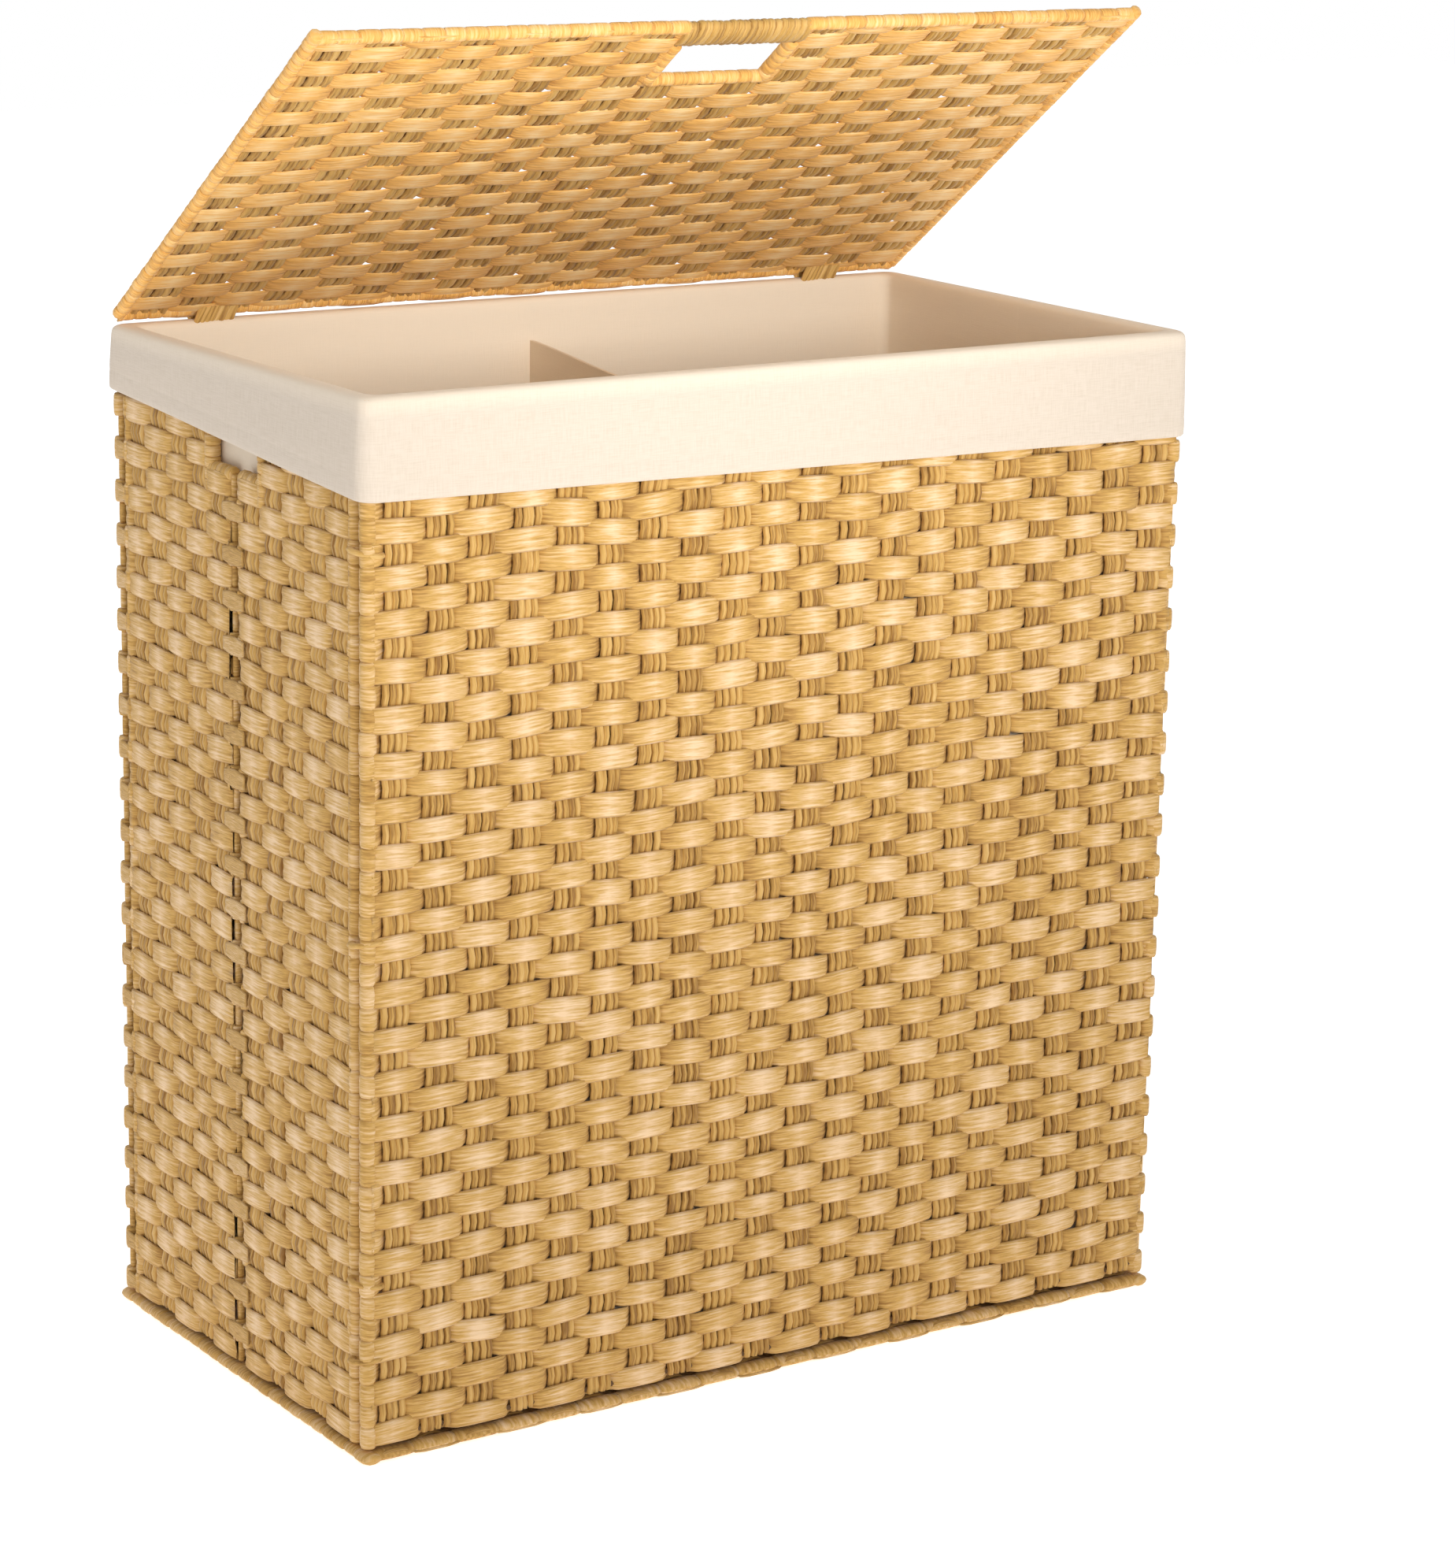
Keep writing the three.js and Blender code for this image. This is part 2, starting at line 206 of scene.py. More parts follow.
def apply_modifier(piece, kind, **settings):
    """Adds a modifier, sets it and applies it."""
    select_only(piece)
    modifier = piece.modifiers.new(kind.title(), kind)
    for key, value in settings.items():
        setattr(modifier, key, value)
    bpy.ops.object.modifier_apply(modifier=modifier.name)


def join(pieces, name):
    """Joins pieces into the first and names it."""
    select_only(*pieces)
    if len(pieces) > 1:
        bpy.ops.object.join()
    pieces[0].name = name
    return pieces[0]


def get_points(piece):
    """All points of a mesh as rows of x, y and z."""
    points = np.empty(len(piece.data.vertices) * 3)
    piece.data.vertices.foreach_get("co", points)
    return points.reshape(-1, 3)


def set_points(piece, points):
    """Moves all points of a mesh to these rows of x, y and z."""
    piece.data.vertices.foreach_set("co", np.ascontiguousarray(points, float).ravel())
    piece.data.update()


def shift(piece, x=0.0, y=0.0, z=0.0):
    """Moves a mesh inside its object, which stays at the origin."""
    set_points(piece, get_points(piece) + (x, y, z))


def face_out(piece):
    """Closes what is open and turns every face outwards."""
    select_only(piece)
    bpy.ops.object.mode_set(mode="EDIT")
    bpy.ops.mesh.select_all(action="SELECT")
    bpy.ops.mesh.fill_holes(sides=16)
    bpy.ops.mesh.select_all(action="SELECT")
    bpy.ops.mesh.normals_make_consistent(inside=False)
    bpy.ops.object.mode_set(mode="OBJECT")


# %% [markdown]
# ## Straw strands
# Each woven strand is a tube: a ring that is extruded from station to station, like pulling it out
# by hand. One repeat of the strand is modelled, and the Array modifier lays it along the row and then
# row above row. Array can also move the UV map with each copy. That is used here to number the copies:
# the whole part of U counts along a strand and V counts the strands, and both the shape's small
# irregularities and the straw's colours are looked up by those numbers.

# %% A tube made by extruding a ring
NUMBER_EDGE = 0.01  # a strand's V stays this far inside its own number
STRAND_MAP = "strand"


def add_tube(name, stations, sides):
    """An open tube along X through these stations, with a ring of points at each."""
    bpy.ops.object.select_all(action="DESELECT")
    bpy.ops.mesh.primitive_circle_add(vertices=sides, radius=MM, rotation=(0, math.pi / 2, 0))
    tube = bpy.context.active_object
    tube.name = name
    bpy.ops.object.transform_apply(location=True, rotation=True, scale=True)
    bpy.ops.object.mode_set(mode="EDIT")
    bpy.ops.mesh.select_all(action="SELECT")
    bpy.ops.transform.translate(value=(stations[0], 0, 0))
    for before, here in zip(stations, stations[1:]):
        bpy.ops.mesh.extrude_region_move(TRANSFORM_OT_translate={"value": (here - before, 0, 0)})
    bpy.ops.object.mode_set(mode="OBJECT")
    return tube


def number_tube(tube, sides, low, span, wound=False):
    """Gives each face its place along the tube as U, 0 to 1, and round it as V, low to low + span.
    A wound tube's straw runs round it, so there U goes round and V along."""
    mesh = tube.data
    points = get_points(tube)
    around = np.rint(np.arctan2(points[:, 2], points[:, 1]) / (2 * math.pi) * sides).astype(int) % sides
    start, end = points[:, 0].min(), points[:, 0].max()
    corners = np.empty(len(mesh.loops), int)
    mesh.loops.foreach_get("vertex_index", corners)
    place = around[corners].reshape(-1, 4).astype(float)
    crosses = place.max(1) - place.min(1) > sides / 2
    place[crosses] = np.where(place[crosses] == 0, sides, place[crosses])
    lengthwise, round_it = (points[corners, 0] - start) / (end - start), place.ravel() / sides
    first, second = (round_it, lengthwise) if wound else (lengthwise, round_it)
    uv = np.column_stack([first, low + NUMBER_EDGE + (span - 2 * NUMBER_EDGE) * second])
    while mesh.uv_layers:
        mesh.uv_layers.remove(mesh.uv_layers[0])
    mesh.uv_layers.new(name=STRAND_MAP)
    mesh.uv_layers[STRAND_MAP].data.foreach_set("uv", uv.ravel())
    return around


def repeat(piece, count, step, number=(0.0, 0.0), welded=False):
    """Lays count copies, step apart, each with its strand numbers moved on by number."""
    apply_modifier(
        piece,
        "ARRAY",
        use_relative_offset=False,
        use_constant_offset=True,
        constant_offset_displace=step,
        count=count,
        offset_u=number[0],
        offset_v=number[1],
        use_merge_vertices=welded,
        merge_threshold=0.01 * MM,
    )


def numbers_of(piece):
    """Each point's U and V in the strand map."""
    mesh = piece.data
    uv = np.empty(len(mesh.loops) * 2)
    mesh.uv_layers[STRAND_MAP].data.foreach_get("uv", uv)
    corners = np.empty(len(mesh.loops), int)
    mesh.loops.foreach_get("vertex_index", corners)
    numbers = np.zeros((len(mesh.vertices), 2))
    numbers[corners] = uv.reshape(-1, 2)
    return numbers


def paint_tone(piece, tone):
    """Keeps a value from 0 to 1 at each point, which the straw's colour follows."""
    attribute = piece.data.attributes.new("tone", "FLOAT", "POINT")
    attribute.data.foreach_set("value", tone.astype(np.float32))


def renumber(piece, v_offset):
    """Moves a whole piece on in V, to keep its numbers apart from another's."""
    layer = piece.data.uv_layers[STRAND_MAP]
    uv = np.empty(len(piece.data.loops) * 2)
    layer.data.foreach_get("uv", uv)
    uv[1::2] += v_offset
    layer.data.foreach_set("uv", uv)


# %% [markdown]
# ## The weave
# The weave is plain: each flat band of straw goes over one upright and behind the next, and the next
# row does the opposite. An upright is a bundle of four strands. A band that floats over an upright is a
# flat pillow with pleats along it, and its middle is painted lighter: partly worn lighter by rubbing,
# partly a painted highlight where it catches the light. Hand weaving is never regular,
# so each float gets its own height, slant and bulge from a seeded table, and the uprights wander. All
# the panels are woven lying down, x along the bands, y up the uprights, and z from the inner face to
# the outer, and are stood up afterwards.

# %% Shape of one float
ROW_HEIGHT = 12.8 * MM
STRANDS_IN_UPRIGHT = 4
STRAND_SPACING = 4.15 * MM
LID_STRAND_SPACING = 5.5 * MM  # the lid's uprights are broader and close its windows
STRANDS_ASIDE = 0.5 * MM  # a bundle stands nearer one side of its window, and leaves a slit
BAND_SIDES = 12
BAND_SECTION = [
    (1.0, 0.0), (0.88, 0.78), (0.5, 1.0), (0.12, 0.6), (-0.34, 1.0), (-0.82, 0.74),
    (-1.0, 0.0), (-0.82, -0.7), (-0.42, -0.95), (0.0, -0.6), (0.45, -0.9), (0.86, -0.7),
]  # y and z round the band, with its pleats, as shares of its half height and bulge
WALL_DIVE = 0.67  # of the half repeat, from a float's middle to where it dives
LID_DIVE = 0.64  # the lid's weave is a little more even
DIVE_LENGTH = 0.12  # of the half repeat
BAND_LIFT = 3.4 * MM  # of the band's middle before or behind the panel's middle
FLOAT_HALF_HEIGHT = 7.5 * MM
DIVE_HALF_HEIGHT = 7.2 * MM
FLOAT_BULGE = 1.5 * MM
DIVE_BULGE = 1.0 * MM
FLOAT_STATIONS = [0, 0.08, 0.13, 0.18, 0.23, 0.35, 0.5, 0.65, 0.77, 0.82, 0.87, 0.92, 1]


def float_shape(along, around, dive_share):
    """Offsets in y and z of a band's points: along is 0 to 1 over one repeat, float in the middle.
    A band that dives late has a long float outside and a short one inside. It is pinched only where
    it dives, so that no light comes through between the rows."""
    off_middle = np.abs(along - 0.5) * 2
    outside = np.cos(np.clip(off_middle / dive_share, 0, 1) * math.pi / 2)
    inside = np.cos(np.clip((1 - off_middle) / (1 - dive_share), 0, 1) * math.pi / 2)
    pillow = np.maximum(outside, inside) ** 0.4
    half_height = DIVE_HALF_HEIGHT + (FLOAT_HALF_HEIGHT - DIVE_HALF_HEIGHT) * pillow
    bulge = DIVE_BULGE + (FLOAT_BULGE - DIVE_BULGE) * pillow
    middle = BAND_LIFT * np.tanh((dive_share - off_middle) / DIVE_LENGTH)
    section = np.array(BAND_SECTION)[around]
    return section[:, 0] * half_height, middle + section[:, 1] * bulge


def add_band_cell(panel):
    """One repeat of a band, two uprights long, with its float in the middle."""
    repeat_length = 2 * panel["pitch"]
    cell = add_tube("band", [s * repeat_length for s in FLOAT_STATIONS], BAND_SIDES)
    around = number_tube(cell, BAND_SIDES, 0, 0.5)
    points = get_points(cell)
    along = points[:, 0] / repeat_length
    points[:, 1], points[:, 2] = float_shape(along, around, panel["dive_share"])
    set_points(cell, points)
    return cell


print("one float has", (len(FLOAT_STATIONS) - 1) * BAND_SIDES, "faces")


# %% Irregular hand weaving
FLOAT_SQUASH = 0.08  # a float is this share taller or lower than its neighbours
FLOAT_SLANT = 2.4 * MM
FLOAT_PUFF = 0.4 * MM
ROW_DRIFT = 0.7 * MM
FOOT_GAP = 1.2 * MM  # straw stays this far inside a panel's lower edge
RIM_GAP = 0.6 * MM  # and this far inside its upper edge
BAND_TONE = 0.28
RUBBED_AND_HIGHLIGHT_TONE = 0.55  # how much lighter a float's middle is painted: partly wear from rubbing, partly a painted highlight
RUBBED_AND_HIGHLIGHT_LENGTH = 0.15  # of one repeat
STRAND_STRAY = 0.35 * MM
STRAND_TONE = 0.35


def wander(x, y):
    """How far an upright strays sideways at a place on its panel."""
    slow = np.sin(2 * math.pi * (y / 0.19 + x / 0.11))
    slower = np.sin(2 * math.pi * (y / 0.31 - x / 0.17) + 1.3)
    return (1.1 * slow + 0.8 * slower) * MM


def table(seed, rows, columns):
    """A table of random numbers from -1 to 1, the same each time for a seed."""
    return np.random.default_rng(seed).uniform(-1, 1, (rows, columns))


def loosen_bands(bands, seed, panel, first_row):
    """Gives each float its own height, slant and bulge, and each row its own drift."""
    points, numbers = get_points(bands), numbers_of(bands)
    row = first_row + np.floor(2 * numbers[:, 1]).astype(int)
    column = np.floor(numbers[:, 0]).astype(int)
    size = (row.max() + 2, column.max() + 2)
    height, slant, bulge, tone = (table(seed + i, *size)[row, column] for i in range(4))
    drift = table(seed + 9, size[0], 2)[row]
    row_middle = (row + 0.5) * panel["row_height"]
    from_middle = points[:, 1] - row_middle
    in_repeat = numbers[:, 0] - column - 0.5
    front = points[:, 2] > panel["middle"]
    points[:, 1] = row_middle + from_middle * (1 + FLOAT_SQUASH * height)
    points[:, 1] += in_repeat * slant * FLOAT_SLANT * (np.abs(in_repeat) < 0.45)
    points[:, 1] += ROW_DRIFT * np.sin(2 * math.pi * points[:, 0] / 0.14 + 3 * drift[:, 0])
    points[:, 1] = np.clip(points[:, 1], FOOT_GAP, panel["height"] - RIM_GAP)
    points[:, 2] += np.where(front, FLOAT_PUFF * bulge, 0)
    points[:, 0] += wander(points[:, 0], points[:, 1])
    set_points(bands, points)
    # A float's middle is painted lighter: partly wear from rubbing, partly a painted highlight.
    rubbed_and_highlight = np.exp(-((in_repeat / RUBBED_AND_HIGHLIGHT_LENGTH) ** 2))
    paint_tone(bands, BAND_TONE + RUBBED_AND_HIGHLIGHT_TONE * rubbed_and_highlight + 0.14 * tone + 0.06 * drift[:, 1])


def loosen_strands(strands, seed):
    """Gives each strand of an upright its own place and tone."""
    points, numbers = get_points(strands), numbers_of(strands)
    strand = np.floor(numbers[:, 1] * 10).astype(int)
    sideways, depth, tone = (table(seed + i, strand.max() + 1, 3)[strand] for i in range(3))
    weave = np.sin(2 * math.pi * points[:, 1] / 0.083 + 3 * sideways[:, 2])
    points[:, 0] += 0.5 * MM * sideways[:, 0] + STRAND_STRAY * weave
    points[:, 2] += STRAND_STRAY * depth[:, 0]
    points[:, 0] += wander(points[:, 0], points[:, 1])
    set_points(strands, points)
    paint_tone(strands, STRAND_TONE + 0.3 * tone[:, 0])


# %% Cutting a lying panel
def cut_off(piece, at, direction):
    """Cuts all that lies past a point in a direction, and closes the cut ends."""
    select_only(piece)
    bpy.ops.object.mode_set(mode="EDIT")
    bpy.ops.mesh.select_all(action="SELECT")
    bpy.ops.mesh.bisect(plane_co=at, plane_no=direction, use_fill=True, clear_outer=True)
    bpy.ops.object.mode_set(mode="OBJECT")


# %% Rows of bands
def add_bands(name, panel, block, seed):
    """Bands on the rows of one block, block being (x from, x to, first row, row after the last)."""
    x_from, x_to, first_row, end_row = block
    pitch, row_height = panel["pitch"], panel["row_height"]
    made = []
    for odd in (0, 1):
        first = first_row + (first_row + odd) % 2
        rows = (end_row - first + 1) // 2
        if rows < 1:
            continue
        cell = add_band_cell(panel)
        first_float = panel["first_upright"] + odd * pitch - pitch
        start = first_float - 2 * pitch * math.ceil(max(0, first_float - x_from) / (2 * pitch))
        copies = math.ceil((x_to - start) / (2 * pitch)) + 1
        shift(cell, start, (first + 0.5) * row_height, 0)
        points = get_points(cell)
        points[:, 2] = panel["middle"] + points[:, 2] * panel["depth_scale"]
        set_points(cell, points)
        renumber(cell, (first - first_row) / 2)
        repeat(cell, copies, (2 * pitch, 0, 0), (1, 0), welded=True)
        repeat(cell, rows, (0, 2 * row_height, 0), (0, 1))
        made.append(cell)
    bands = join(made, name)
    loosen_bands(bands, seed, panel, first_row)
    cut_off(bands, (x_to, 0, 0), (1, 0, 0))
    cut_off(bands, (x_from, 0, 0), (-1, 0, 0))
    return bands


# %% Uprights
STRAND_SIDES = 6
STRAND_FATNESS = 0.53  # radius, as a share of the spacing
STRAND_FORWARD = 2.0 * MM  # where the band is behind it
STRAND_BACK = 1.0 * MM  # where the band is before it


def add_strand_cell(panel):
    """One repeat of a strand, two rows long, that bends back behind its first row's band."""
    length = 2 * panel["row_height"]
    cell = add_tube("strand", [i * length / 4 for i in range(5)], STRAND_SIDES)
    around = number_tube(cell, STRAND_SIDES, 0, 0.09)
    points = get_points(cell)
    turn = around * 2 * math.pi / STRAND_SIDES
    wave = -np.cos(2 * math.pi * (points[:, 0] / length - 0.25))
    mean, swing = (STRAND_FORWARD - STRAND_BACK) / 2, (STRAND_FORWARD + STRAND_BACK) / 2
    radius = STRAND_FATNESS * panel["strand_spacing"]
    depth = (mean + swing * wave + radius * np.sin(turn)) * panel["depth_scale"]
    across = radius * np.cos(turn)
    set_points(cell, np.column_stack([across, points[:, 0], panel["middle"] + depth]))
    return cell


def add_uprights(name, panel, block, seed):
    """Uprights of one block, block being (first upright, upright after the last, y from, y to)."""
    first_upright, end_upright, y_from, y_to = block
    two_rows, made = 2 * panel["row_height"], []
    for odd in (0, 1):
        first = first_upright + (first_upright + odd) % 2
        count = (end_upright - first + 1) // 2
        if count < 1:
            continue
        cell = add_strand_cell(panel)
        below = math.floor(y_from / two_rows) - 1
        spacing = panel["strand_spacing"]
        bundle = (STRANDS_IN_UPRIGHT - 1) * spacing
        x = panel["first_upright"] + first * panel["pitch"] - bundle / 2 + STRANDS_ASIDE
        shift(cell, x, below * two_rows + odd * panel["row_height"], 0)
        renumber(cell, first / 2)
        repeat(cell, math.ceil(y_to / two_rows) - below + 1, (0, two_rows, 0), (1, 0), welded=True)
        repeat(cell, STRANDS_IN_UPRIGHT, (spacing, 0, 0), (0, 0.1))
        repeat(cell, count, (2 * panel["pitch"], 0, 0), (0, 1))
        made.append(cell)
    uprights = join(made, name)
    loosen_strands(uprights, seed)
    cut_off(uprights, (0, y_to, 0), (0, 1, 0))
    cut_off(uprights, (0, y_from, 0), (0, -1, 0))
    return uprights


# %% Straw wound round a rod
WRAP_SIDES = 10
WRAP_STATIONS = [0, 0.12, 0.5, 0.88, 1]
WRAP_PROFILE = [0.88, 0.99, 1.02, 0.99, 0.88]  # radius at each station
SLIM_TURN = 0.5
WRAP_TONE = 0.42


def add_wraps(name, start, end, width, radius, seed, flatten=1.0, slim=None):
    """Turns side by side round the line from start to end, each one width wide. With slim at 0 or 1,
    every second turn from that one on is slim, which leaves a gap beside it."""
    start, end = Vector(start), Vector(end)
    count = max(1, round((end - start).length / width))
    width = (end - start).length / count
    wrap = add_tube("wrap", [s * width for s in WRAP_STATIONS], WRAP_SIDES)
    around = number_tube(wrap, WRAP_SIDES, 0, 1, wound=True)
    points = get_points(wrap)
    station = np.searchsorted(np.array(WRAP_STATIONS) * width, points[:, 0] - 1e-6)
    share = np.array(WRAP_PROFILE)[station]
    turn = around * 2 * math.pi / WRAP_SIDES
    points[:, 1], points[:, 2] = radius * share * np.cos(turn), radius * share * np.sin(turn) * flatten
    set_points(wrap, points)
    repeat(wrap, count, (width, 0, 0), (0, 1))
    points, numbers = get_points(wrap), numbers_of(wrap)
    turn_number = np.floor(numbers[:, 1]).astype(int)
    fat, lean, side, tone = (table(seed + i, count, 1)[turn_number, 0] for i in range(4))
    points[:, 0] += lean * 0.12 * points[:, 1] * np.minimum(1, width / (8 * MM))
    points[:, 1] = points[:, 1] * (1 + 0.06 * fat) + 0.2 * MM * side
    if slim is not None:
        points[turn_number % 2 == slim, 1:] *= SLIM_TURN
    set_points(wrap, points)
    paint_tone(wrap, WRAP_TONE + 0.2 * tone)
    face_out(wrap)
    across = (end - start).normalized()
    wrap.rotation_mode = "QUATERNION"
    wrap.rotation_quaternion = Vector((1, 0, 0)).rotation_difference(across)
    wrap.location = start
    select_only(wrap)
    bpy.ops.object.transform_apply(location=True, rotation=True, scale=True)
    wrap.name = name
    return wrap


# %% [markdown]
# ## Straw and twine finishes
# Pleated paper straw shows fine streaks along its length, a slow change of tone, and a silky side
# light. One node group makes the streaks from the strand map, so they run along every band and round
# every wrap, whichever way the piece is turned. Each straw material gives the group its own scales and
# colours, and its own shader.

# %% Node helpers
def to_linear(*levels):
    """Red, green and blue as seen on a screen, 0 to 255, as the linear colour of a shader."""
    shares = [level / 255 for level in levels]
    linear = [s / 12.92 if s <= 0.04045 else ((s + 0.055) / 1.055) ** 2.4 for s in shares]
    return (*linear, 1.0)


def add_node(tree, kind, **settings):
    """A new node with these settings changed."""
    node = tree.nodes.new(kind)
    for key, value in settings.items():
        setattr(node, key, value)
    return node


def wire_up(tree, source, target):
    """Joins a node's output to another node's input."""
    tree.links.new(source, target)


def add_stretch(tree, place, scale):
    """A place on a map with its own scale each way."""
    node = add_node(tree, "ShaderNodeVectorMath", operation="MULTIPLY")
    node.inputs[1].default_value = scale
    wire_up(tree, place, node.inputs[0])
    return node.outputs[0]


def split_up(tree, place):
    """The outputs that hold a place's X, Y and Z."""
    node = add_node(tree, "ShaderNodeSeparateXYZ")
    wire_up(tree, place, node.inputs[0])
    return node.outputs


def add_noise(tree, place, detail=2.0, roughness=0.5, scale=1.0):
    """A smooth noise at a place, about 0 to 1."""
    node = add_node(tree, "ShaderNodeTexNoise")
    node.inputs["Scale"].default_value = scale
    node.inputs["Detail"].default_value = detail
    node.inputs["Roughness"].default_value = roughness
    wire_up(tree, place, node.inputs["Vector"])
    return node.outputs["Fac"]


def add_sum(tree, first, second, share):
    """first + second * share; first is a plain number or an output."""
    node = add_node(tree, "ShaderNodeMath", operation="MULTIPLY_ADD")
    wire_up(tree, second, node.inputs[0])
    node.inputs[1].default_value = share
    if isinstance(first, float):
        node.inputs[2].default_value = first
    else:
        wire_up(tree, first, node.inputs[2])
    return node.outputs[0]


def add_range(tree, value, start=(0, 1), end=(0, 1)):
    """A value taken from the start range to the end range, and kept inside it."""
    node = add_node(tree, "ShaderNodeMapRange", clamp=True)
    for title, level in zip(("From Min", "From Max", "To Min", "To Max"), (*start, *end)):
        node.inputs[title].default_value = level
    wire_up(tree, value, node.inputs["Value"])
    return node.outputs[0]


def mix_colours(tree, share, first, second):
    """From first to second as share goes from 0 to 1; each is a plain colour or an output."""
    node = add_node(tree, "ShaderNodeMix", data_type="RGBA")
    wire_up(tree, share, node.inputs[0])
    for colour, target in ((first, node.inputs[6]), (second, node.inputs[7])):
        if isinstance(colour, tuple):
            target.default_value = colour
        else:
            wire_up(tree, colour, target)
    return node.outputs[2]


def add_bump(tree, height, strength, distance, under=None):
    """A bumpy normal from a height, laid over another normal if one is given."""
    node = add_node(tree, "ShaderNodeBump")
    node.inputs["Strength"].default_value = strength
    node.inputs["Distance"].default_value = distance
    wire_up(tree, height, node.inputs["Height"])
    if under is not None:
        wire_up(tree, under, node.inputs["Normal"])
    return node.outputs["Normal"]


# %% The straw group
STREAK_WEIGHT = 0.9
TONE_WEIGHT = 0.4
FOLD_WEIGHT = 0.2
FOLD_STRETCH = (0.6, 0.12, 1)  # the broad folds are coarser than the streaks
DARKEST, LIGHTEST = 0.48, 0.98  # of the weighted sum
MIDDLE_AT = 0.45  # of the way from the darkest to the lightest


def add_straw_sockets(group):
    """What a straw material tells the group, and the colour and height that it gets back."""
    new_socket = group.interface.new_socket
    for title, kind, value in (
        ("Along", "NodeSocketFloat", 2.0),
        ("Across", "NodeSocketFloat", 40.0),
        ("Dark", "NodeSocketColor", (0.3, 0.2, 0.1, 1)),
        ("Middle", "NodeSocketColor", (0.6, 0.4, 0.2, 1)),
        ("Light", "NodeSocketColor", (0.8, 0.6, 0.4, 1)),
    ):
        new_socket(name=title, in_out="INPUT", socket_type=kind).default_value = value
    new_socket(name="Color", in_out="OUTPUT", socket_type="NodeSocketColor")
    new_socket(name="Height", in_out="OUTPUT", socket_type="NodeSocketFloat")


def add_strand_place(group, given):
    """A place on the strand map, scaled along and across as the material says."""
    strand = add_node(group, "ShaderNodeUVMap", uv_map=STRAND_MAP)
    apart = split_up(group, strand.outputs["UV"])
    place = add_node(group, "ShaderNodeCombineXYZ")
    for axis, scale in (("X", "Along"), ("Y", "Across")):
        scaled = add_node(group, "ShaderNodeMath", operation="MULTIPLY")
        wire_up(group, apart[axis], scaled.inputs[0])
        wire_up(group, given[scale], scaled.inputs[1])
        wire_up(group, scaled.outputs[0], place.inputs[axis])
    return place.outputs[0]


def make_straw_group():
    """Streaks along a strand, from its strand map and its tone: a colour and a height."""
    group = bpy.data.node_groups.new("straw streaks", "ShaderNodeTree")
    add_straw_sockets(group)
    given = add_node(group, "NodeGroupInput").outputs
    out = add_node(group, "NodeGroupOutput").inputs
    place = add_strand_place(group, given)
    streak = add_noise(group, place, detail=3.0, roughness=0.62)
    fold = add_noise(group, add_stretch(group, place, FOLD_STRETCH), detail=1.0)
    tone = add_node(group, "ShaderNodeAttribute", attribute_name="tone")
    height = add_sum(group, 0.0, fold, FOLD_WEIGHT)
    height = add_sum(group, height, tone.outputs["Fac"], TONE_WEIGHT)
    height = add_sum(group, height, streak, STREAK_WEIGHT)
    level = add_range(group, height, (DARKEST, LIGHTEST))
    to_middle = add_range(group, level, (0, MIDDLE_AT))
    to_light = add_range(group, level, (MIDDLE_AT, 1))
    lower = mix_colours(group, to_middle, given["Dark"], given["Middle"])
    wire_up(group, mix_colours(group, to_light, lower, given["Light"]), out["Color"])
    wire_up(group, height, out["Height"])
    return group


straw_streaks = make_straw_group()
print("straw group has", len(straw_streaks.nodes), "nodes")


# %% Straw materials
STRAW_RIDGE = 0.8 * MM


def make_straw(name, along, across, dark, middle, light, bump):
    """A straw finish; along and across are the streaks' scales on the strand map."""
    material, tree, shader = new_material(name, {
        "Roughness": 0.62,
        "Specular IOR Level": 0.32,
        "Sheen Weight": 0.12,
    })
    streaks = add_node(tree, "ShaderNodeGroup", node_tree=straw_streaks)
    for socket, level in (("Along", along), ("Across", across)):
        streaks.inputs[socket].default_value = level
    for socket, colour in (("Dark", dark), ("Middle", middle), ("Light", light)):
        streaks.inputs[socket].default_value = to_linear(*colour)
    ridges = add_bump(tree, streaks.outputs["Height"], bump, STRAW_RIDGE)
    wire_up(tree, streaks.outputs["Color"], shader.inputs["Base Color"])
    wire_up(tree, ridges, shader.inputs["Normal"])
    return material


BAND_COLOURS = {"dark": (162, 117, 54), "middle": (207, 163, 87), "light": (240, 207, 165)}
STRAND_COLOURS = {"dark": (146, 103, 46), "middle": (203, 159, 84), "light": (224, 185, 117)}
# The lid is the walls' straw painted lighter: painted light on its underside, which stands in shade.
LID_COLOURS_PAINTED_LIGHTER = {"dark": (196, 138, 64), "middle": (240, 182, 95), "light": (252, 216, 156)}

straw_band = make_straw("straw_band", 3.0, 60, **BAND_COLOURS, bump=0.8)
straw_strand = make_straw("straw_strand", 1.2, 110, **STRAND_COLOURS, bump=0.45)
straw_wrap = make_straw("straw_wrap", 2.0, 9, **BAND_COLOURS, bump=0.5)
lid_band = make_straw("lid_band", 3.0, 60, **LID_COLOURS_PAINTED_LIGHTER, bump=0.8)
lid_strand = make_straw("lid_strand", 1.2, 110, **STRAND_COLOURS, bump=0.45)
print("straw materials:", straw_band.name, straw_strand.name, straw_wrap.name)

# %% [markdown]
# ## Woven panels
# Each CAD panel gives its own size. A panel is woven lying down and is then turned up on its side of
# the basket, so one set of functions makes them all. The bands, the uprights and the wound edges of
# a panel are three pieces, because each has its own straw, and all three ride on the panel's body.

# %% Finishing a piece
RIM_ROD = 5 * MM  # from a panel's edge to the middle of its edge rod
EDGE_RADIUS = 4.7 * MM
EDGE_STRIP = 7 * MM  # where the uprights' spacing starts, from the panel's edge


def stand_up(piece, rise, turn, face):
    """Lifts a lying piece by rise and stands it on a side: 0 is the front, 90 right, 180 back."""
    shift(piece, y=rise)
    up = Euler((math.pi / 2, 0, 0)).to_matrix().to_4x4()
    round_z = Euler((0, 0, math.radians(turn))).to_matrix().to_4x4()
    place = round_z @ up
    place.translation = round_z @ Vector((0, -face, 0))
    fix_place(piece, place)


